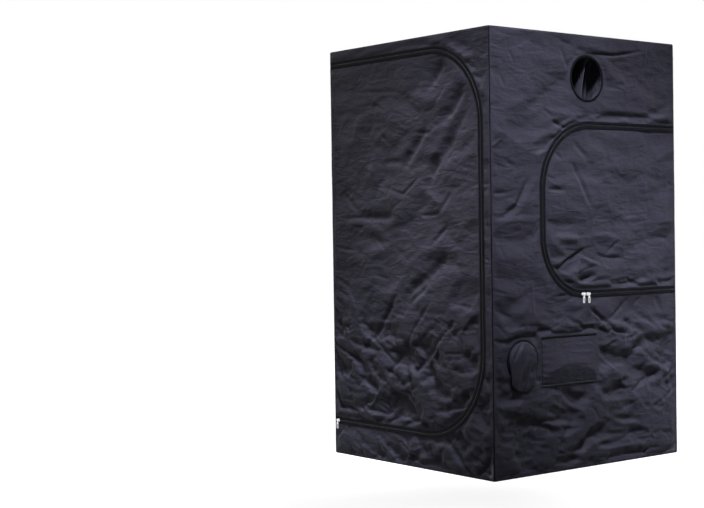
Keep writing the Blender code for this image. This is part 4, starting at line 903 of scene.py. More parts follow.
class Finish:
    """A material with a Principled shader, a mottled colour and bumps laid on each other."""

    def __init__(self, name, colour, roughness, spread=0.25, size=0.2, coordinates="Object", **sockets):
        self.material = bpy.data.materials.new(name)
        self.material.use_nodes = True
        self.tree = self.material.node_tree
        self.shader = self.tree.nodes["Principled BSDF"]
        self.shader.inputs["Roughness"].default_value = roughness
        for label, value in sockets.items():
            self.shader.inputs[label.replace("_", " ")].default_value = value
        places = self.tree.nodes.new("ShaderNodeTexCoord")
        self.vector = places.outputs[coordinates]
        self.object = places.outputs["Object"]
        self.mottle = placed_group(self.tree, "Mottle", Vector=self.object, Size=size).outputs[0]
        self.mix(self.mottle, scaled(colour, 1 - spread), scaled(colour, 1 + spread))
        self.normal = None

    def mix(self, mask, first, second):
        """Base colour between two colours, or between the last one and another."""
        node = add_node(self.tree, "ShaderNodeMix", data_type="RGBA")
        self.tree.links.new(mask, node.inputs["Factor"])
        feed(self.tree, node.inputs[6], first)
        feed(self.tree, node.inputs[7], second)
        self.colour = node.outputs[2]
        self.tree.links.new(self.colour, self.shader.inputs["Base Color"])

    def rough(self, mask, low, high):
        """Roughness between two values by a mask."""
        node = add_node(self.tree, "ShaderNodeMapRange", {"Value": mask, "To Min": low, "To Max": high})
        self.tree.links.new(node.outputs[0], self.shader.inputs["Roughness"])

    def bump(self, height, distance, strength=1.0):
        """One more bump over the ones before."""
        node = add_node(self.tree, "ShaderNodeBump", {"Height": height, "Distance": distance,
                                                      "Strength": strength})
        if self.normal is not None:
            self.tree.links.new(self.normal, node.inputs["Normal"])
        self.normal = node.outputs[0]
        self.tree.links.new(self.normal, self.shader.inputs["Normal"])

    def grain(self, scale, detail, distance, strength):
        """A bump from fine noise."""
        noise = add_node(self.tree, "ShaderNodeTexNoise", {
            "Vector": self.object, "Scale": scale, "Detail": detail})
        self.bump(noise.outputs[0], distance, strength)

    def group(self, name, **values):
        """One of the shared groups, on this finish's coordinates."""
        values.setdefault("Vector", self.vector)
        return placed_group(self.tree, name, **values)


# Creases in the cloth's finish: size, height and strength
CLOTH_CREASES = ((0.07, 0.0026, 0.4), (0.024, 0.0009, 0.35))


def make_cloth(name, colour, weave):
    """Coated woven cloth: pressed creases, a plain weave and a faint gloss."""
    look = Finish(name, colour, roughness=0.5, spread=0.22, size=0.16, coordinates="UV",
                  Specular_IOR_Level=0.035)
    threads = look.group("Plain weave", Pitch=weave)
    look.mix(threads.outputs["Shade"], look.colour, scaled(colour, 1.06))
    look.rough(look.mottle, 0.4, 0.52)
    level = add_node(look.tree, "ShaderNodeVectorMath", {0: look.vector, 1: (0.6, 1.7, 1.0)},
                     operation="MULTIPLY").outputs[0]
    for size, height, strength in CLOTH_CREASES:
        look.bump(look.group("Crumple", Size=size, Vector=level).outputs[0], height, strength)
    look.bump(threads.outputs["Height"], 0.00022, 0.12)
    return look.material


def make_finishes(context):
    """All finishes of the tent, by name."""
    weave_group()
    crumple_group()
    mottle_group()
    colours = context.scene.grow_tent_colours
    cloth = context.scene.grow_tent_cloth
    looks = {"cloth": make_cloth("Coated cloth", colours.cloth, cloth.weave)}

    lining = Finish("Bright lining", colours.lining, roughness=0.3, spread=0.06, size=0.3,
                    coordinates="UV", Metallic=0.9)
    quilt = lining.group("Plain weave", Pitch=0.006)
    lining.bump(quilt.outputs["Height"], 0.0006, 0.5)
    lining.bump(lining.group("Crumple", Size=0.03).outputs[0], 0.0008, 0.5)
    looks["lining"] = lining.material

    tape = Finish("Woven tape", colours.tape, roughness=0.6, spread=0.2, size=0.05,
                  coordinates="UV", Specular_IOR_Level=0.03)
    tape.bump(tape.group("Plain weave", Pitch=0.0007).outputs["Height"], 0.0002, 0.6)
    looks["tape"] = tape.material

    coil = Finish("Nylon coil", scaled(colours.tape, 1.3)[:3], roughness=0.4, spread=0.15, size=0.05,
                  Specular_IOR_Level=0.12)
    looks["coil"] = coil.material

    thread = Finish("Sewing thread", colours.thread, roughness=0.5, spread=0.15, size=0.05)
    looks["thread"] = thread.material

    plastic = Finish("Moulded plastic", colours.plastic, roughness=0.45, spread=0.15, size=0.06)
    plastic.rough(plastic.mottle, 0.38, 0.55)
    plastic.grain(scale=1800.0, detail=2.0, distance=0.0002, strength=0.3)
    looks["plastic"] = plastic.material

    steel = Finish("Zinc plated tube", colours.steel, roughness=0.32, spread=0.1, size=0.05,
                   Metallic=1.0)
    steel.rough(steel.mottle, 0.24, 0.42)
    steel.grain(scale=260.0, detail=3.0, distance=0.0001, strength=0.25)
    looks["steel"] = steel.material

    zinc = Finish("Cast zinc", colours.zinc, roughness=0.3, spread=0.06, size=0.01,
                  Metallic=0.85)
    zinc.rough(zinc.mottle, 0.24, 0.4)
    zinc.grain(scale=900.0, detail=3.0, distance=0.0001, strength=0.3)
    looks["zinc"] = zinc.material

    yarn = Finish("Net yarn", scaled(colours.tape, 1.4)[:3], roughness=0.7, spread=0.2, size=0.02)
    looks["yarn"] = yarn.material

    pile = Finish("Hook and loop", scaled(colours.tape, 1.2)[:3], roughness=0.9, spread=0.3, size=0.01,
                  Sheen_Weight=0.4)
    pile.grain(scale=1500.0, detail=3.0, distance=0.0008, strength=0.8)
    looks["pile"] = pile.material

    tray = Finish("Tray cloth", colours.lining, roughness=0.35, spread=0.08, size=0.2,
                  coordinates="UV", Metallic=0.7)
    tray.bump(tray.group("Crumple", Size=0.05).outputs[0], 0.001, 0.5)
    tray.bump(tray.group("Plain weave", Pitch=0.0016).outputs["Height"], 0.0002, 0.5)
    looks["tray"] = tray.material
    return looks


LOOKS = {}


# Operators: one for each kind of piece

class GROWTENT_OT_finishes(bpy.types.Operator):
    """Make every material of the tent"""
    bl_idname = "growtent.finishes"
    bl_label = "Finishes"

    def execute(self, context):
        LOOKS.update(make_finishes(context))
        return {"FINISHED"}


# Each level: cell of the grid, rounds, and the reach in millimetres of the folds that start on it
WALL_LEVELS = ((0.024, 50, (30, 999)), (0.012, 60, (13, 30)), (0.006, 40, (0, 13)))
PLAIN_LEVELS = ((0.024, 50, (30, 999)), (0.012, 50, (0, 30)))
FLOOR_CELL = 0.015


def sheet_mesh(context, name, face, width, height, folds, room_of, seed, levels, cell, base=0.0):
    """A whole wall without openings."""
    cloth = context.scene.grow_tent_cloth
    moved = relaxed_wall(cloth, width, height, folds, room_of, seed, levels, base)
    u, v, moved = fine_wall(cloth, moved, width, height, cell, room_of, seed + 20, base)
    return cut_sheet(name, face, u, v, moved, everywhere, [LOOKS["cloth"], LOOKS["lining"]])


def hem(width):
    """Width of a wall out to the middle of its bound edges."""
    return width - BINDING


# How far past a tape's edge the cloth is held flat, how quickly it is free beyond a zip, how far the
# cloth lies under a tape, and over what distance it comes up again
TAPE_MARGIN = 0.002
ZIP_FREEDOM = 1.4
UNDER_TAPE = 0.0009
TAPE_RUN = 0.012
# What a wall's bound edge holds, and the roof's, which also rests on the rails
EDGE_HELD = 0.004
ROOF_HELD = 0.034
# How far past the vent's flap and the ports' rings the cloth is held flat, and how far it reaches
# over the net's edge and under the rings
FLAP_HELD = 0.002
RING_HELD = 0.003
NET_LAP = 0.014
RING_LAP = 0.006


def zip_room(context, line, u, v):
    """How freely the cloth may move beside a zip: a multiple of the distance to its tapes."""
    zips = context.scene.grow_tent_zips
    return ZIP_FREEDOM * (np.abs(line.distance(u, v)) - (zips.tape_half + TAPE_MARGIN))


def zipped_cloth(context, line, width, height, base, folds, room_of, seed):
    """The relaxed and creased cloth of a wall with a zip, pressed in under the tapes."""
    cloth = context.scene.grow_tent_cloth
    moved = relaxed_wall(cloth, width, height, folds, room_of, seed, WALL_LEVELS, base)
    u, v, moved = fine_wall(cloth, moved, width, height, cloth.cell, room_of, seed + 20, base)
    away = np.abs(line.distance(u, v))
    tape_half = context.scene.grow_tent_zips.tape_half
    moved[..., 2] -= UNDER_TAPE * (1 - smooth_rise(away, tape_half, TAPE_RUN))
    return u, v, moved


def front_shape(context):
    """Cloth of the front wall and the door: the zip's line and the grid's places and moves."""
    door = zip_lines(context)[0]
    width, height = hem(WIDTH), hem(HEIGHT)
    base = (HEIGHT - height) / 2

    def room_of(u, v):
        return np.minimum(edge_room(u, v, width, height, base) - EDGE_HELD,
                          zip_room(context, door, u, v))

    folds = with_pressed(FRONT_FOLDS, FRONT_PRESSED)
    return door, *zipped_cloth(context, door, width, height, base, folds, room_of, 11)


def side_shape(context):
    """Cloth of the service side and the window: the zip's line, the distance past the ports' and
    the vent's openings, and the grid's places and moves."""
    window = zip_lines(context)[1]
    width, height = hem(DEPTH), hem(HEIGHT)
    base = (HEIGHT - height) / 2
    rings = [(middle(node), half_span(node)) for node in ("top_port_collar", "low_port_collar")]
    low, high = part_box("vent_flap")
    hem_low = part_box("vent_hem")[0]
    net_low, net_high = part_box("vent_net")

    def port_distance(u, v):
        return np.minimum.reduce([np.hypot(u - spot.y, v - spot.z) - radius
                                  for spot, radius in rings])

    def openings(u, v):
        hole = rectangle_distance(u, v, net_low.y + NET_LAP, net_low.z + NET_LAP,
                                  net_high.y - NET_LAP, net_high.z - NET_LAP)
        return np.minimum(port_distance(u, v) + RING_LAP, hole)

    def room_of(u, v):
        flap = rectangle_distance(u, v, low.y, hem_low.z, high.y, high.z) - FLAP_HELD
        room = np.minimum(edge_room(u, v, width, height, base) - EDGE_HELD,
                          zip_room(context, window, u, v))
        return np.minimum(np.minimum(room, flap), port_distance(u, v) - RING_HELD)

    folds = with_pressed(SIDE_FOLDS, SIDE_PRESSED)
    return window, openings, *zipped_cloth(context, window, width, height, base, folds, room_of, 41)


def add_wall(context, name, face, u, v, moved, keep, body, node):
    """A wall's or a flap's cloth, thickened inwards over its bright lining."""
    mesh = cut_sheet(name, face, u, v, moved, keep, [LOOKS["cloth"], LOOKS["lining"]])
    piece = add_piece(name, mesh, body, [node])
    return thicken(piece, context.scene.grow_tent_cloth.thickness, 1)


class GROWTENT_OT_front(bpy.types.Operator):
    """Front wall round the door, and the door's own cloth"""
    bl_idname = "growtent.front"
    bl_label = "Front wall and door"

    def execute(self, context):
        zips = context.scene.grow_tent_zips
        door, u, v, moved = front_shape(context)
        under = zips.tape_half - zips.tape_lap
        wall = add_wall(context, "front_wall", FRONT, u, v, moved,
                        lambda a, b: door.distance(a, b) - under, ROOT, "front_panel")
        leaf = add_wall(context, "door_cloth", FRONT, u, v, moved,
                        lambda a, b: -door.distance(a, b) - under, "door", "door_panel")
        width, height = hem(WIDTH), hem(HEIGHT)
        inside = (door.distance(u, v) < 0).mean() * width * height
        # The wall is a slim C round the door; the area inside the door's line is worked out here but not
        # used.
        return {"FINISHED"}


class GROWTENT_OT_side(bpy.types.Operator):
    """Service side round its window, ports and vent, and the window's own cloth"""
    bl_idname = "growtent.side"
    bl_label = "Service side and window"

    def execute(self, context):
        zips = context.scene.grow_tent_zips
        window, openings, u, v, moved = side_shape(context)
        under = zips.tape_half - zips.tape_lap

        def keep(a, b):
            return np.minimum(window.distance(a, b) - under, openings(a, b))

        wall = add_wall(context, "side_wall", SIDE, u, v, moved, keep, ROOT, "side_panel")
        leaf = add_wall(context, "window_cloth", SIDE, u, v, moved,
                        lambda a, b: -window.distance(a, b) - under, "window", "window_panel")
        width, height = hem(DEPTH), hem(HEIGHT)
        kept = (keep(u, v) > 0).mean() * width * height
        inside = (window.distance(u, v) < 0).mean() * width * height
        return {"FINISHED"}


class GROWTENT_OT_plain_walls(bpy.types.Operator):
    """Back wall, left wall, roof and floor"""
    bl_idname = "growtent.plain_walls"
    bl_label = "Plain walls"

    def execute(self, context):
        cloth = context.scene.grow_tent_cloth
        rows = (
            ("back_wall", BACK, hem(WIDTH), hem(HEIGHT), "back_panel",
             with_pressed(PLAIN_FOLDS, BACK_PRESSED), 81),
            ("left_wall", LEFT, hem(DEPTH), hem(HEIGHT), "left_panel",
             with_pressed(mirrored(PLAIN_FOLDS), LEFT_PRESSED), 91),
            ("roof_cloth", ROOF, hem(WIDTH), hem(DEPTH), "roof_panel", (), 101),
        )
        for name, face, width, height, node, folds, seed in rows:
            base = -height / 2 if face is ROOF else (HEIGHT - height) / 2

            def room_of(u, v):
                held = ROOF_HELD if face is ROOF else EDGE_HELD
                return edge_room(u, v, width, height, base) - held

            mesh = sheet_mesh(context, name, face, width, height, folds, room_of, seed,
                              PLAIN_LEVELS, cloth.plain_cell, base)
            piece = thicken(add_piece(name, mesh, ROOT, [node]), cloth.thickness, 1)

        width, height = hem(DEPTH), hem(WIDTH)
        cells = round(width / FLOOR_CELL)
        u, v = np.meshgrid(np.linspace(-width / 2, width / 2, cells),
                           np.linspace(-height / 2, height / 2, cells))
        mesh = cut_sheet("floor_cloth", FLOOR, u, v, np.zeros((cells, cells, 3)), everywhere,
                         [LOOKS["cloth"], LOOKS["lining"]])
        piece = thicken(add_piece("floor_cloth", mesh, ROOT, ["floor_panel"]),
                        cloth.thickness, 1)
        return {"FINISHED"}


def stitch_mesh(name, face, path, outward, away, rise, sizes):
    """A row of stitches: each is a slim spindle of three rings of three points along the path,
    whose middle stands proud and whose ends dip into the cloth."""
    step = np.linalg.norm(path[1] - path[0])
    every = max(1, round(sizes.stitch_pitch / step))
    centres = (path + outward * away)[every // 2::every]
    side = outward[every // 2::every]
    run = np.stack([side[:, 1], -side[:, 0]], -1)
    along = np.array([-0.5, 0.0, 0.5]) * sizes.stitch_length
    lift = np.array([-0.4, 0.5, -0.4]) * sizes.thread
    angle = np.array([0, 2, 4]) * math.pi / 3 + QUARTER
    thick = np.array([0.5, 1.0, 0.5])[:, None] * sizes.thread / 2
    across = thick * np.cos(angle)
    up = thick * np.sin(angle) + lift[:, None] + rise
    flat = (centres[:, None, None, :] + run[:, None, None, :] * along[None, :, None, None]
            + side[:, None, None, :] * across[None, :, :, None])
    height = np.broadcast_to(up, flat.shape[:3])[..., None]
    points = face.world(np.concatenate([flat, height], -1)).reshape(-1, 3)
    one = grid_quads(3, 3, False, True)
    caps = np.array([[2, 1, 0], [6, 7, 8]])
    offsets = 9 * np.arange(len(centres))
    quads = (one[None] + offsets[:, None, None]).reshape(-1, 4)
    ends = (caps[None] + offsets[:, None, None]).reshape(-1, 3)
    return make_mesh(name, points, [quads, ends], [LOOKS["thread"]])


# Back and front of a zip's tape from the wall's face, its thinned edge, and the distances of the two
# rows of stitches from the zip's line
TAPE_BACK = -0.0008
TAPE_TOP = 0.0002
TAPE_BEAD = 0.0012
STITCH_ROWS = (0.0105, 0.0155)
TAPE_STEP = 0.004  # between two points along a tape
SLIM_TURN = 0.62  # size of the two rings between two full rings of the coil


def tape_profile(zips):
    """Outline across one tape of a zip, as the distance from the zip's line and the height: a flat
    strip from the gap to the tape's edge, thinned over its last millimetre."""
    start, end = zips.gap_half, zips.tape_half
    return np.array([
        (start, TAPE_BACK), (end - TAPE_BEAD, TAPE_BACK), (end, TAPE_BACK / 2), (end, 0.0),
        (end - TAPE_BEAD, TAPE_TOP), ((start + end) / 2, TAPE_TOP), (start, TAPE_TOP)])


def coil_rings(zips, face, path, outward, way):
    """Rings of half a zip's coil: an ellipse carried along the zip's line. Every third ring is full
    and the two between are slimmer, so each turn of the coil shows as a rib."""
    angle = np.linspace(0, 2 * math.pi, 7)[:-1]
    reach = (zips.coil_width - zips.coil_gap) / 2
    turn = np.where(np.arange(len(path)) % 3 == 0, 1.0, SLIM_TURN)[:, None]
    across = zips.coil_width - reach + reach * np.cos(angle) * turn ** 0.3
    up = TAPE_TOP * 0.5 + (zips.coil_height - TAPE_TOP * 0.5) * np.sin(angle) * turn
    up = np.maximum(up, TAPE_BACK / 2)
    flat = path[:, None] + way * outward[:, None] * across[..., None]
    return face.world(np.concatenate([flat, up[..., None]], -1))


class GROWTENT_OT_zips(bpy.types.Operator):
    """Tapes, coils and stitches of both zips"""
    bl_idname = "growtent.zips"
    bl_label = "Zips"

    def execute(self, context):
        zips = context.scene.grow_tent_zips
        seams = context.scene.grow_tent_seams
        door, window = zip_lines(context)
        for label, line, face, body in (("door", door, FRONT, "door"),
                                        ("window", window, SIDE, "window")):
            path, outward, along = line.path(TAPE_STEP)
            turn_path, turn_outward, _ = line.path(zips.coil_pitch / 3)
            stitch_path, stitch_outward, _ = line.path(seams.stitch_pitch / 3)
            profile = tape_profile(zips)
            uv = np.stack(np.broadcast_arrays(along[:, None], profile[:, 0]), -1)
            for part, way, rides in (("wall", 1, ROOT), ("flap", -1, body)):
                name = f"{label}_{part}"
                flip = (line.way * way) < 0
                rings = carried(face, path, outward, profile, way)
                mesh = closed_sweep(f"{name}_tape", rings, [LOOKS["tape"]], flip=flip, uv=uv)
                add_piece(f"{name}_tape", mesh, rides, [f"{label}_zip_{part}_tape"])

                rings = coil_rings(zips, face, turn_path, turn_outward, way)
                mesh = closed_sweep(f"{name}_coil", rings, [LOOKS["coil"]], flip=flip)
                add_piece(f"{name}_coil", mesh, rides)

                for number, away in enumerate(STITCH_ROWS):
                    mesh = stitch_mesh(f"{name}_stitches_{number + 1}", face, stitch_path,
                                       way * stitch_outward, away, TAPE_TOP, seams)
                    add_piece(f"{name}_stitches_{number + 1}", mesh, rides)
        return {"FINISHED"}


# Radius of the bound edges' corners, the share by which their thickness varies, and how far an upright
# one strays
BINDING_CORNER = 0.006
BINDING_UNEVEN = 0.12
BINDING_WANDER = 0.0006


class GROWTENT_OT_binding(bpy.types.Operator):
    """Bound edges of the cover: an eight-sided cord, a little uneven, along every edge"""
    bl_idname = "growtent.binding"
    bl_label = "Bound edges"

    def execute(self, context):
        radius = context.scene.grow_tent_seams.binding_radius
        inset = BINDING / 2
        half_x, half_y = WIDTH / 2 - inset, DEPTH / 2 - inset
        sides = 8
        angle = 2 * math.pi * np.arange(sides) / sides
        blocks, points, maps, count = [], [], [], 0

        def thickness(along, seed):
            return radius * (1 + BINDING_UNEVEN * cloud(along / 0.02, 0 * along, seed))[:, None]

        def add(rings, wrap, along):
            nonlocal count
            rows = len(rings)
            blocks.append(grid_quads(rows, sides, wrap, True) + count)
            if not wrap:
                ring = np.arange(sides)
                blocks.append(np.array([ring[::-1], ring + (rows - 1) * sides]) + count)
            points.append(rings.reshape(-1, 3))
            maps.append(np.stack(np.broadcast_arrays(along[:, None], radius * angle), -1).reshape(-1, 2))
            count += rows * sides

        for height, seed in ((inset, 5), (HEIGHT - inset, 6)):
            flat, places = rounded_rim(half_x, half_y, BINDING_CORNER, turns=6, count=560)
            run = np.roll(flat, -1, 0) - np.roll(flat, 1, 0)
            run /= np.linalg.norm(run, axis=1, keepdims=True)
            out = np.stack([run[:, 1], -run[:, 0]], -1)
            thick = thickness(places, seed)
            side = flat[:, None] + out[:, None] * (thick * np.cos(angle))[..., None]
            rise = height + thick * np.sin(angle)
            rings = np.concatenate([side, rise[..., None]], -1)
            add(rings[:, ::-1], True, places)
        rise = np.linspace(inset, HEIGHT - inset, 300)
        for number, (way_x, way_y) in enumerate(CORNERS):
            thick = thickness(rise, 7 + number)
            wander = BINDING_WANDER * cloud(rise / 0.15, 0 * rise, 17 + number)[:, None]
            rings = np.stack([way_x * half_x + wander + thick * np.cos(angle),
                              way_y * half_y + wander + thick * np.sin(angle),
                              np.broadcast_to(rise[:, None], (len(rise), sides))], -1)
            add(rings, False, rise)
        mesh = make_mesh("edge_binding_tape", np.concatenate(points), blocks, [LOOKS["tape"]],
                         np.concatenate(maps))
        add_piece("edge_binding_tape", mesh, ROOT, ["edge_binding"])
        return {"FINISHED"}


def ring_sweep(name, face, centre, radii, heights, looks, sides=96, ripple=0.0, ripples=0):
    """A closed ring round a port: a closed profile of radius and height turned round the port's
    middle, its radius rippled by a sine of the angle."""
    angle = 2 * math.pi * np.arange(sides) / sides
    wave = 1 + ripple * np.sin(ripples * angle)[:, None]
    radius = radii[None] * wave
    flat = np.stack([centre.y + radius * np.cos(angle)[:, None],
                     centre.z + radius * np.sin(angle)[:, None],
                     np.broadcast_to(heights, radius.shape)], -1)
    uv = np.stack(np.broadcast_arrays(angle[:, None] * radii.mean(), heights + radii), -1)
    return closed_sweep(name, face.world(flat), looks, wrap=True, flip=True, uv=uv)


SLEEVE_SIDES = 144
RING_WIDTH = 0.012
RING_RISE = 0.0013  # half the thickness of a port's ring
# How far inside its ring's outer edge a sleeve starts, and how long it is
TOP_SLEEVE = (0.0125, 0.16)
LOW_SLEEVE = (0.0115, 0.115)
LOW_WEAVE = 0.2  # what the low sleeve's length is in its UV map, so that its creases are small


def pushed_in_sleeve(around, share, radius):
    """Rings of the sleeve that is pushed into its port, from the ring's middle. Going inward the
    depth rises as a parabola, more at the top, while the cloth falls and narrows a little. Two
    bell curves across it lift a broad ridge and a slim one back towards the opening."""
    across, up = np.cos(around), np.sin(around)
    high = 0.5 + 0.5 * up
    small = cloud(6 * across + 3 + 2 * share, 3 * up + 4 * share, 3)
    fall = smooth_rise(share, 0.0, 1.0) ** 1.2
    inward = (1 - (1 - np.clip(share / 0.55, 0, 1)) ** 2) * (0.016 + 0.1 * high)
    sideways = across * (1 - 0.2 * fall) - 0.12 * fall * high
    ridge = np.exp(-((sideways + 0.02 - 0.2 * up * (1 - fall) + 0.1 * fall) / 0.2) ** 2)
    other = np.exp(-((sideways - 0.6 + 0.06 * up) / 0.09) ** 2)
    inward = inward * (1 - high * (0.78 * ridge + 0.5 * other)) + 0.005 * fall * small
    drop = fall * (high * 2.15 * radius + (1 - high) * 0.05)
    return np.stack([radius * sideways, radius * up - drop,
                     -np.maximum(inward, 0.004 * smooth_rise(share, 0, 0.1))], -1)


def drooping_sleeve(around, share, radius):
    """Rings of the sleeve that droops out of its port, from the ring's middle. Every thread is a
    quadratic Bezier curve from the ring, over a bulge, to a hem below. Noise ripples it, two bell
    curves of the angle tuck it in, and one pinches its side. A short throat goes back through
    the wall."""
    over = 0.5 + 0.5 * np.sin(around)
    first = [radius * np.cos(around), radius * np.sin(around), 0 * around]
    bulge = [1.06 * radius * np.cos(around), 0.95 * radius * np.sin(around), 0.006 + 0.042 * over]
    last = [0.8 * radius * np.cos(around) - 0.002, -0.106 - 0.034 * np.sin(around) ** 2,
            0.003 + 0.004 * over]
    across, up, out = [(1 - share) ** 2 * a + 2 * share * (1 - share) * b + share ** 2 * c
                       for a, b, c in zip(first, bulge, last)]
    neck = smooth_rise(share, 0, 0.25)
    ripple = np.abs(cloud(1.5 * np.cos(around) + 2 + 2 * share, 2.2 * share + 0.7 * np.sin(around), 8))
    slim = np.abs(cloud(4 * np.cos(around) + 2 + 2 * share, 8 * share + 2 * np.sin(around), 9))
    turn = np.mod(around + 0.3 * share - 0.25 + math.pi, 2 * math.pi) - math.pi
    tuck = 1.8 * np.exp(-(turn / 0.22) ** 2) + 0.9 * np.exp(-((around - 3.5) / 0.3) ** 2)
    out = out + neck * (0.016 * ripple + 0.004 * slim - 0.005 - 0.012 * tuck) * (0.25 + 0.75 * over)
    out = np.maximum(out, 0.0014 + 0.0016 * over)
    pinch = np.exp(-((share - 0.5) / 0.16) ** 2) * np.exp(-(turn / 0.5) ** 2)
    rings = np.stack([across - 0.016 * pinch, up, out], -1)
    throat = np.stack(np.broadcast_arrays(radius * np.cos(around), radius * np.sin(around),
                                          np.array([[-0.002], [0.0]])), -1)
    return np.concatenate([throat, rings])


def add_sleeve(context, label, rings, radius, around, along, flip=False):
    """A port's sleeve from its rings, with the angle and the way along it as its UV map."""
    spot = middle(f"{label}_port_collar")
    rings = rings + (spot.y, spot.z, 0)
    quads = grid_quads(len(rings), SLEEVE_SIDES, False, True)
    uv = np.stack(np.broadcast_arrays(around * radius, along), -1).reshape(-1, 2)
    mesh = make_mesh(f"{label}_port_cloth", SIDE.world(rings).reshape(-1, 3),
                     [quads[:, ::-1] if flip else quads], [LOOKS["cloth"]], uv)
    piece = add_piece(f"{label}_port_cloth", mesh, ROOT, [f"{label}_port_sleeve"])
    thicken(piece, context.scene.grow_tent_seams.sleeve_cloth)


class GROWTENT_OT_ports(bpy.types.Operator):
    """Bound rings and cloth sleeves of the two duct ports"""
    bl_idname = "growtent.ports"
    bl_label = "Duct ports"

    def execute(self, context):
        seams = context.scene.grow_tent_seams
        for label in ("top", "low"):
            node = f"{label}_port_collar"
            spot = middle(node)
            outer = half_span(node)
            inner = outer - RING_WIDTH
            turn = np.linspace(0, 2 * math.pi, 13)[:-1]
            middle_radius = (outer + inner) / 2
            radii = middle_radius + (outer - inner) / 2 * np.cos(turn)
            heights = RING_RISE + RING_RISE * np.sin(turn)
            mesh = ring_sweep(f"{label}_port_ring", SIDE, spot, radii, heights, [LOOKS["tape"]],
                              ripple=0.004, ripples=28)
            add_piece(f"{label}_port_ring", mesh, ROOT, [node])
            around = 2 * math.pi * np.arange(600) / 600
            outward = np.stack([np.cos(around), np.sin(around)], -1)
            path = np.array([spot.y, spot.z]) + outward * middle_radius
            mesh = stitch_mesh(f"{label}_port_stitches", SIDE, path, outward, 0.0,
                               2 * RING_RISE, seams)
            add_piece(f"{label}_port_stitches", mesh, ROOT)

        around = 2 * math.pi * np.arange(SLEEVE_SIDES) / SLEEVE_SIDES
        inset, length = TOP_SLEEVE
        radius = half_span("top_port_collar") - inset
        share = np.linspace(0, 1, 60)[:, None]
        rings = pushed_in_sleeve(around, share, radius)
        add_sleeve(context, "top", rings, radius, around, length * share)

        inset, length = LOW_SLEEVE
        radius = half_span("low_port_collar") - inset
        rings = drooping_sleeve(around, np.linspace(0, 1, 72)[:, None], radius)
        along = np.linspace(0, LOW_WEAVE, len(rings))[:, None]
        add_sleeve(context, "low", rings, radius, around, along, flip=True)
        return {"FINISHED"}


FLAP_CLOTH = 0.0009  # thickness of the vent's flap and hem
NET_YARN = 0.0004  # half the thickness of a yarn of the net
# Height and thickness of the tape along the flap's top, and how far it stands out
FLAP_EDGE = 0.010
FLAP_EDGE_CLOTH = 0.0012
FLAP_EDGE_OUT = 0.0048


def box_grid(node, columns, rows):
    """Even grid over a node's box on the service side, and the box."""
    low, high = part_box(node)
    u, v = np.meshgrid(np.linspace(low.y, high.y, columns), np.linspace(low.z, high.z, rows))
    return u, v, low, high


def standing(out, rise=0.0):
    """Moves of a grid's points: up by one amount and out of the face by another."""
    return np.stack([0 * out, rise + 0 * out, out], -1)


def net_mesh(pitch, yarn):
    """The vent's net: square yarns at even steps across and up its box, each three rings of four
    corners, with the second set a little in front of the first."""
    low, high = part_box("vent_net")
    back = low.x - WIDTH / 2
    corner = QUARTER * np.arange(4)
    one = np.concatenate([grid_quads(3, 4, False, True), np.array([[3, 2, 1, 0], [8, 9, 10, 11]])])
    blocks, points, count = [], [], 0
    for across, (start, end, first, last) in enumerate((
            (low.z, high.z, low.y, high.y), (low.y, high.y, low.z, high.z))):
        places = np.arange(first + pitch / 2, last, pitch)
        along = np.linspace(start, end, 3)[None, :, None]
        wide = places[:, None, None] + yarn * np.cos(corner)
        deep = back + 0.0006 + 0.0003 * across + yarn * np.sin(corner)
        long, wide, deep = np.broadcast_arrays(along, wide, deep)
        rods = np.stack([long, wide, deep] if across else [wide, long, deep], -1).reshape(-1, 3)
        solid = one if across else one[:, ::-1]
        starts = 12 * np.arange(len(places))[:, None, None] + count
        blocks.append((solid[None] + starts).reshape(-1, 4))
        points.append(rods)
        count += len(rods)
    return make_mesh("vent_yarns", SIDE.world(np.concatenate(points)), blocks, [LOOKS["yarn"]])


def flap_moves(u, v, low, high, pouch):
    """How the vent's flap bellies: from the hem it rises in a straight line to a ridge, which is
    highest in the middle, and above the ridge it falls as a power, blended where the two meet.
    It is flat at its sides and fastened top, with small pleats by its near side and noise folds."""
    share_u = (u - low.y) / (high.y - low.y)
    share_v = (v - low.z) / (high.z - low.z)
    ends = np.clip(4 * share_u * (1 - share_u), 0, 1) ** 0.4
    ridge = 0.10 + 0.32 * np.sin(math.pi * share_u) ** 0.7
    under = share_v / ridge
    above = (np.clip(1 - share_v, 0, 1) / (1 - ridge)) ** 1.6
    belly = np.clip(0.5 * (under + above - np.sqrt((under - above) ** 2 + 0.03)), 0, 1)
    pleats = 0.0012 * np.sin(share_v * 46 + 2 * share_u) * np.exp(-share_u / 0.10)
    folds = (0.0012 * np.abs(cloud(u / 0.06, v / 0.04, 14))
             + 0.0003 * np.abs(cloud(u / 0.02, v / 0.02, 15)))
    soft = smooth_rise(1 - share_v, 0.02, 0.2) * smooth_rise(share_v, 0, 0.05)
    rise = pouch * belly * ends * (0.85 + 0.25 * cloud(u / 0.12, v / 0.2, 16))
    out = np.maximum(0.0030 + 0.0008 + rise + (pleats + folds) * soft, 0.0034)
    drop = -0.010 * belly * ends * (1 - share_v)
    return standing(out, drop * smooth_rise(share_v, 0, 0.15))


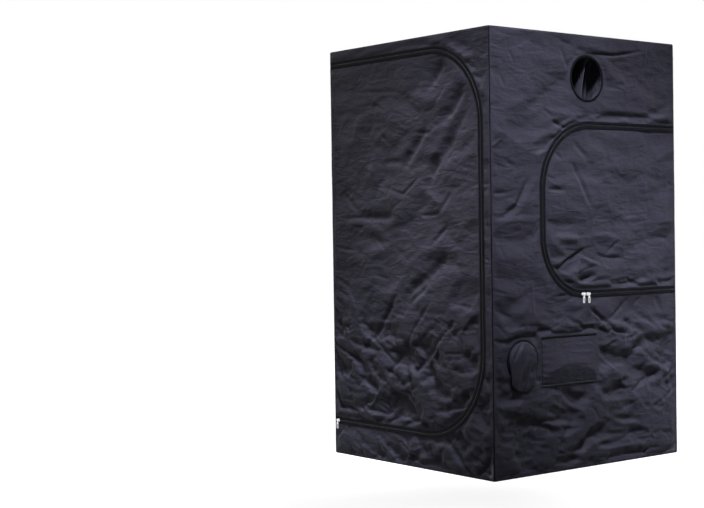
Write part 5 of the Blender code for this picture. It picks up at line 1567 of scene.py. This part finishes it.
class GROWTENT_OT_vent(bpy.types.Operator):
    """Vent: its net, hem, hook and loop strips and flap"""
    bl_idname = "growtent.vent"
    bl_label = "Vent"

    def execute(self, context):
        seams = context.scene.grow_tent_seams
        add_piece("vent_yarns", net_mesh(seams.net_pitch, NET_YARN), ROOT, ["vent_net"])

        u, v, low, high = box_grid("vent_hem", 90, 9)
        arch = np.sin(math.pi * (v - low.z) / (high.z - low.z)) ** 0.6
        moved = standing(0.0012 + 0.0024 * arch + 0.0003 * cloud(u / 0.02, v / 0.03, 2))
        mesh = cut_sheet("vent_hem_cloth", SIDE, u, v, moved, everywhere, [LOOKS["cloth"]])
        thicken(add_piece("vent_hem_cloth", mesh, ROOT, ["vent_hem"]), FLAP_CLOTH)

        u, v, low, high = box_grid("vent_flap", 118, 76)
        moved = flap_moves(u, v, low, high, seams.vent_pouch)
        mesh = cut_sheet("vent_flap_cloth", SIDE, u, v, moved, everywhere, [LOOKS["cloth"]])
        piece = add_piece("vent_flap_cloth", mesh, "vent_flap", ["vent_flap"])
        thicken(piece, FLAP_CLOTH)

        u, v = np.meshgrid(u[0], high.z - np.array([FLAP_EDGE, 0.0]))
        moved = standing(FLAP_EDGE_OUT + 0.0004 * cloud(u / 0.05, v / 0.1, 18))
        mesh = cut_sheet("vent_flap_edge", SIDE, u, v, moved, everywhere, [LOOKS["tape"]])
        thicken(add_piece("vent_flap_edge", mesh, "vent_flap"), FLAP_EDGE_CLOTH)

        for node, name, body in (("vent_loop_strip", "vent_loop_tape", ROOT),
                                 ("vent_hook_strip", "vent_hook_tape", "vent_flap")):
            u, v, low, high = box_grid(node, 60, 8)
            moved = standing(np.full(u.shape, high.x - WIDTH / 2))
            mesh = cut_sheet(name, SIDE, u, v, moved, everywhere, [LOOKS["pile"]])
            thicken(add_piece(name, mesh, body, [node]), high.x - low.x)
        return {"FINISHED"}


TRAY_CORNER = 0.045
TRAY_CLOTH = 0.0012
# Rings of the tray from its rim to near its middle: how far inward each lies, and its height as a
# share of the rim's
TRAY_RINGS = (
    (0.0, 1.0), (0.0006, 0.75), (0.0008, 0.5), (0.0006, 0.25), (0.001, 0.06),
    (0.004, 0.012), (0.02, 0.004), (0.1, 0.002), (0.3, 0.002), (0.5, 0.002),
)


class GROWTENT_OT_tray(bpy.types.Operator):
    """Loose spill tray on the floor: a rounded rim shrunk ring by ring down its wall and inward
    over its floor, to a fan at the middle"""
    bl_idname = "growtent.tray"
    bl_label = "Spill tray"

    def execute(self, context):
        low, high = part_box("spill_tray")
        half_x, half_y = (high.x - low.x) / 2, (high.y - low.y) / 2
        wall = high.z - low.z
        count = 360
        rim, places = rounded_rim(half_x, half_y, TRAY_CORNER, turns=9, count=count)
        rings = []
        for inward, height in TRAY_RINGS:
            shrink = np.array([1 - inward / half_x, 1 - inward / half_y])
            wave = 0.0009 * cloud(places / 0.06, 0 * places + 9 * height, 4) * (0.1 < height < 0.9)
            level = np.full(count, low.z + wall * height)
            rings.append(np.column_stack([rim * shrink * (1 - wave / half_x)[:, None], level]))
        rings = np.stack(rings)
        centre = (0, 0, low.z + wall * TRAY_RINGS[-1][1])
        points = np.concatenate([rings.reshape(-1, 3), [centre]])
        quads = grid_quads(len(rings), count, False, True)
        last = (len(rings) - 1) * count
        ring = np.arange(count)
        fan = np.stack([last + ring, last + (ring + 1) % count, np.full(count, len(points) - 1)], -1)
        mesh = make_mesh("spill_tray_cloth", points, [quads, fan], [LOOKS["tray"]], points[:, :2])
        piece = thicken(add_piece("spill_tray_cloth", mesh, ROOT, ["spill_tray"]),
                        TRAY_CLOTH)
        return {"FINISHED"}


TUBE_WALL = 0.0009


def tube_mesh(name, low, high, look, sides=28):
    """A steel tube in a node's box: two circles, the bore and the outside, at both ends of the
    box's long side, joined into a closed wall."""
    low, high = np.array(low), np.array(high)
    size = high - low
    axis = int(np.argmax(size))
    one, other = (axis + 1) % 3, (axis + 2) % 3
    radius = size[one] / 2
    inner = radius - TUBE_WALL
    angle = 2 * math.pi * np.arange(sides) / sides
    ends = [(low[axis], inner), (low[axis], radius), (high[axis], radius), (high[axis], inner)]
    centre = (low + high) / 2
    rings = np.zeros((4, sides, 3))
    for row, (place, reach) in enumerate(ends):
        rings[row, :, axis] = place
        rings[row, :, one] = centre[one] + reach * np.cos(angle)
        rings[row, :, other] = centre[other] + reach * np.sin(angle)
    mesh = make_mesh(name, rings.reshape(-1, 3), [grid_quads(4, sides, True, True)], [look])
    mesh.set_sharp_from_angle(angle=math.radians(40))
    return mesh


class GROWTENT_OT_frame(bpy.types.Operator):
    """Steel tubes, and the finishes of the lower uprights, connectors, hooks, sliders and pulls"""
    bl_idname = "growtent.frame"
    bl_label = "Frame and fittings"

    def execute(self, context):
        bodies = {name: body for body, names in frame["record"]["behaviour"]["bodies"].items()
                  for name in names}
        for name, node in frame["nodes"].items():
            if "_rail_" in name or "upper_upright_" in name or name.startswith("hanging_bar_"):
                mesh = tube_mesh(f"{name}_tube", *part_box(name), LOOKS["steel"])
                add_piece(f"{name}_tube", mesh, bodies[name], [name])
            elif "upright" in name:
                node.material_slots[0].material = LOOKS["steel"]
            elif "connector" in name or name.startswith("bar_hook_"):
                node.material_slots[0].material = LOOKS["plastic"]
            elif "slider" in name or "pull" in name:
                node.material_slots[0].material = LOOKS["zinc"]
        return {"FINISHED"}


WHITE = (1, 1, 1, 1)
FLOOR_HALF = 40
FLOOR_LEVEL = -0.0005

# Name, place, aim, size, spread in degrees, power in watts and tint of each lamp. The first two are
# narrow beams from high up, each along one wall, so that the wall's foot gets less light.
LAMPS = (
    ("front", (-0.6, -2.6, 5.6), (0, -0.6, 1.46), (3.2, 0.6), 9, 5.3, (1.0, 0.98, 0.95)),
    ("side", (2.6, -0.9, 5.6), (0.6, 0, 1.3), (3.2, 0.8), 16, 27, (0.87, 0.87, 1.0)),
    ("fill", (4.0, -4.4, 2.6), (0, 0, 1.3), (2.4, 2.4), 180, 6, (0.95, 0.96, 1.0)),
    ("back", (-2.6, 2.8, 6.0), (0, 0, 1.3), (2.4, 2.4), 180, 400, (1.0, 1.0, 1.0)),
)

# Camera angles in degrees, and the photograph's own frame in pixels
CAMERA_PLACE = (5.383, -4.817, 1.118)
CAMERA_YAW = 49.84
CAMERA_PITCH = -1.036
CAMERA_ROLL = -0.77
FOCAL_PIXELS = 1458
FRAME_WIDTH = 704
FRAME_MIDDLE = 460


def looking(place, ahead, roll):
    """A matrix that stands at a place and looks along a direction, rolled about it."""
    ahead = np.array(ahead, float) / np.linalg.norm(ahead)
    right = np.cross(ahead, (0, 0, 1))
    right /= np.linalg.norm(right)
    up = np.cross(right, ahead)
    across = math.cos(roll) * right + math.sin(roll) * up
    over = -math.sin(roll) * right + math.cos(roll) * up
    made = np.eye(4)
    made[:3, 0] = across
    made[:3, 1] = over
    made[:3, 2] = -ahead
    made[:3, 3] = place
    return Matrix(made)


def seen_rays(tree):
    """1 for camera, glossy and transmission rays, which see the background, and 0 for others."""
    paths = tree.nodes.new("ShaderNodeLightPath")
    return math_node(tree, "MAXIMUM", paths.outputs["Is Camera Ray"],
                     math_node(tree, "MAXIMUM", paths.outputs["Is Glossy Ray"],
                               paths.outputs["Is Transmission Ray"]))


def floor_material(colour):
    """Studio floor: pale and glowing where the background shows it, more so further out, so that the
    tent's shadow fades into white, and dark to every other ray."""
    floor = bpy.data.materials.new("Studio floor")
    floor.use_nodes = True
    tree = floor.node_tree
    tree.nodes.clear()
    seen = seen_rays(tree)
    matt = add_node(tree, "ShaderNodeBsdfDiffuse", {"Color": scaled(colour, 0.06)})
    pale = add_node(tree, "ShaderNodeBsdfDiffuse", {"Color": scaled(colour, 0.5)})
    spot = tree.nodes.new("ShaderNodeNewGeometry")
    away = add_node(tree, "ShaderNodeVectorMath", {0: spot.outputs["Position"]}, operation="LENGTH")
    bright = add_node(tree, "ShaderNodeMapRange", {
        "Value": away.outputs["Value"], "From Min": 0.8, "From Max": 2.2, "To Min": 0.85,
        "To Max": 1.0}, interpolation_type="SMOOTHSTEP")
    glow = add_node(tree, "ShaderNodeEmission", {"Color": WHITE, "Strength": bright.outputs[0]})
    lit = add_node(tree, "ShaderNodeAddShader", {0: pale.outputs[0], 1: glow.outputs[0]})
    shown = add_node(tree, "ShaderNodeMixShader", {0: seen, 1: matt.outputs[0], 2: lit.outputs[0]})
    add_node(tree, "ShaderNodeOutputMaterial", {"Surface": shown.outputs[0]})
    return floor


def studio_world():
    """World: white behind the tent and in its reflections, and a faint light from all round."""
    world = bpy.data.worlds.new("Studio")
    world.use_nodes = True
    tree = world.node_tree
    tree.nodes.clear()
    seen = seen_rays(tree)
    soft = add_node(tree, "ShaderNodeBackground", {"Color": WHITE, "Strength": 0.05})
    white = add_node(tree, "ShaderNodeBackground", {"Color": WHITE, "Strength": 1.0})
    mixed = add_node(tree, "ShaderNodeMixShader", {0: seen, 1: soft.outputs[0], 2: white.outputs[0]})
    add_node(tree, "ShaderNodeOutputWorld", {"Surface": mixed.outputs[0]})
    return world


def add_lamp(scene, name, place, aim, size, spread, power, tint):
    """A rectangular lamp at its place, turned to its aim."""
    light = bpy.data.lights.new(name, "AREA")
    light.shape = "RECTANGLE"
    light.size, light.size_y = size
    light.spread = math.radians(spread)
    light.energy = power
    light.color = tint
    lamp = bpy.data.objects.new(name, light)
    lamp.matrix_world = looking(place, np.array(aim) - place, 0.0)
    scene.collection.objects.link(lamp)


def add_camera(scene):
    """The photograph's camera."""
    camera = bpy.data.cameras.new("camera")
    camera.sensor_width = 36
    camera.lens = FOCAL_PIXELS * camera.sensor_width / FRAME_WIDTH
    camera.shift_x = (FRAME_WIDTH / 2 - FRAME_MIDDLE) / FRAME_WIDTH
    camera.clip_end = 200
    yaw, pitch = math.radians(CAMERA_YAW), math.radians(CAMERA_PITCH)
    ahead = (-math.sin(yaw) * math.cos(pitch), math.cos(yaw) * math.cos(pitch), math.sin(pitch))
    eye = bpy.data.objects.new("camera", camera)
    eye.matrix_world = looking(CAMERA_PLACE, ahead, math.radians(CAMERA_ROLL))
    scene.collection.objects.link(eye)
    scene.camera = eye


class GROWTENT_OT_stage(bpy.types.Operator):
    """Floor, lights, world and camera"""
    bl_idname = "growtent.stage"
    bl_label = "Studio"

    def execute(self, context):
        scene = context.scene
        corners = np.array([(x * FLOOR_HALF, y * FLOOR_HALF, FLOOR_LEVEL)
                            for x, y in ((-1, -1), (1, -1), (1, 1), (-1, 1))])
        mesh = make_mesh("studio_floor", corners, [np.array([[0, 1, 2, 3]])],
                         [floor_material(scene.grow_tent_colours.floor)])
        ground = bpy.data.objects.new("studio_floor", mesh)
        scene.collection.objects.link(ground)
        scene.world = studio_world()
        for lamp in LAMPS:
            add_lamp(scene, *lamp)
        add_camera(scene)
        scene.view_settings.view_transform = "Standard"
        return {"FINISHED"}


class GROWTENT_PT_panel(bpy.types.Panel):
    """Settings of the tent and the steps that build its looks"""
    bl_label = "Grow tent"
    bl_space_type = "VIEW_3D"
    bl_region_type = "UI"
    bl_category = "Grow tent"

    def draw(self, context):
        for name, group in GROUPS.items():
            box = self.layout.box()
            for setting in group.__annotations__:
                box.prop(getattr(context.scene, name), setting)
        for step in STEPS:
            self.layout.operator(step.bl_idname)


STEPS = (
    GROWTENT_OT_finishes, GROWTENT_OT_stage, GROWTENT_OT_front, GROWTENT_OT_side,
    GROWTENT_OT_plain_walls, GROWTENT_OT_zips, GROWTENT_OT_binding, GROWTENT_OT_ports,
    GROWTENT_OT_vent, GROWTENT_OT_tray, GROWTENT_OT_frame,
)
GROUPS = {
    "grow_tent_cloth": GrowTentCloth, "grow_tent_zips": GrowTentZips,
    "grow_tent_seams": GrowTentSeams, "grow_tent_colours": GrowTentColours,
}


def register():
    """Add the classes and the settings to Blender."""
    for kind in (*GROUPS.values(), *STEPS, GROWTENT_PT_panel):
        bpy.utils.register_class(kind)
    for name, kind in GROUPS.items():
        setattr(bpy.types.Scene, name, bpy.props.PointerProperty(type=kind))


def unregister():
    """Take the classes and the settings out again."""
    for name in GROUPS:
        delattr(bpy.types.Scene, name)
    for kind in reversed((*GROUPS.values(), *STEPS, GROWTENT_PT_panel)):
        bpy.utils.unregister_class(kind)


def main():
    """Build everything."""
    register()
    for step in STEPS:
        family, name = step.bl_idname.split(".")
        getattr(getattr(bpy.ops, family), name)()


if __name__ == "__main__":
    main()
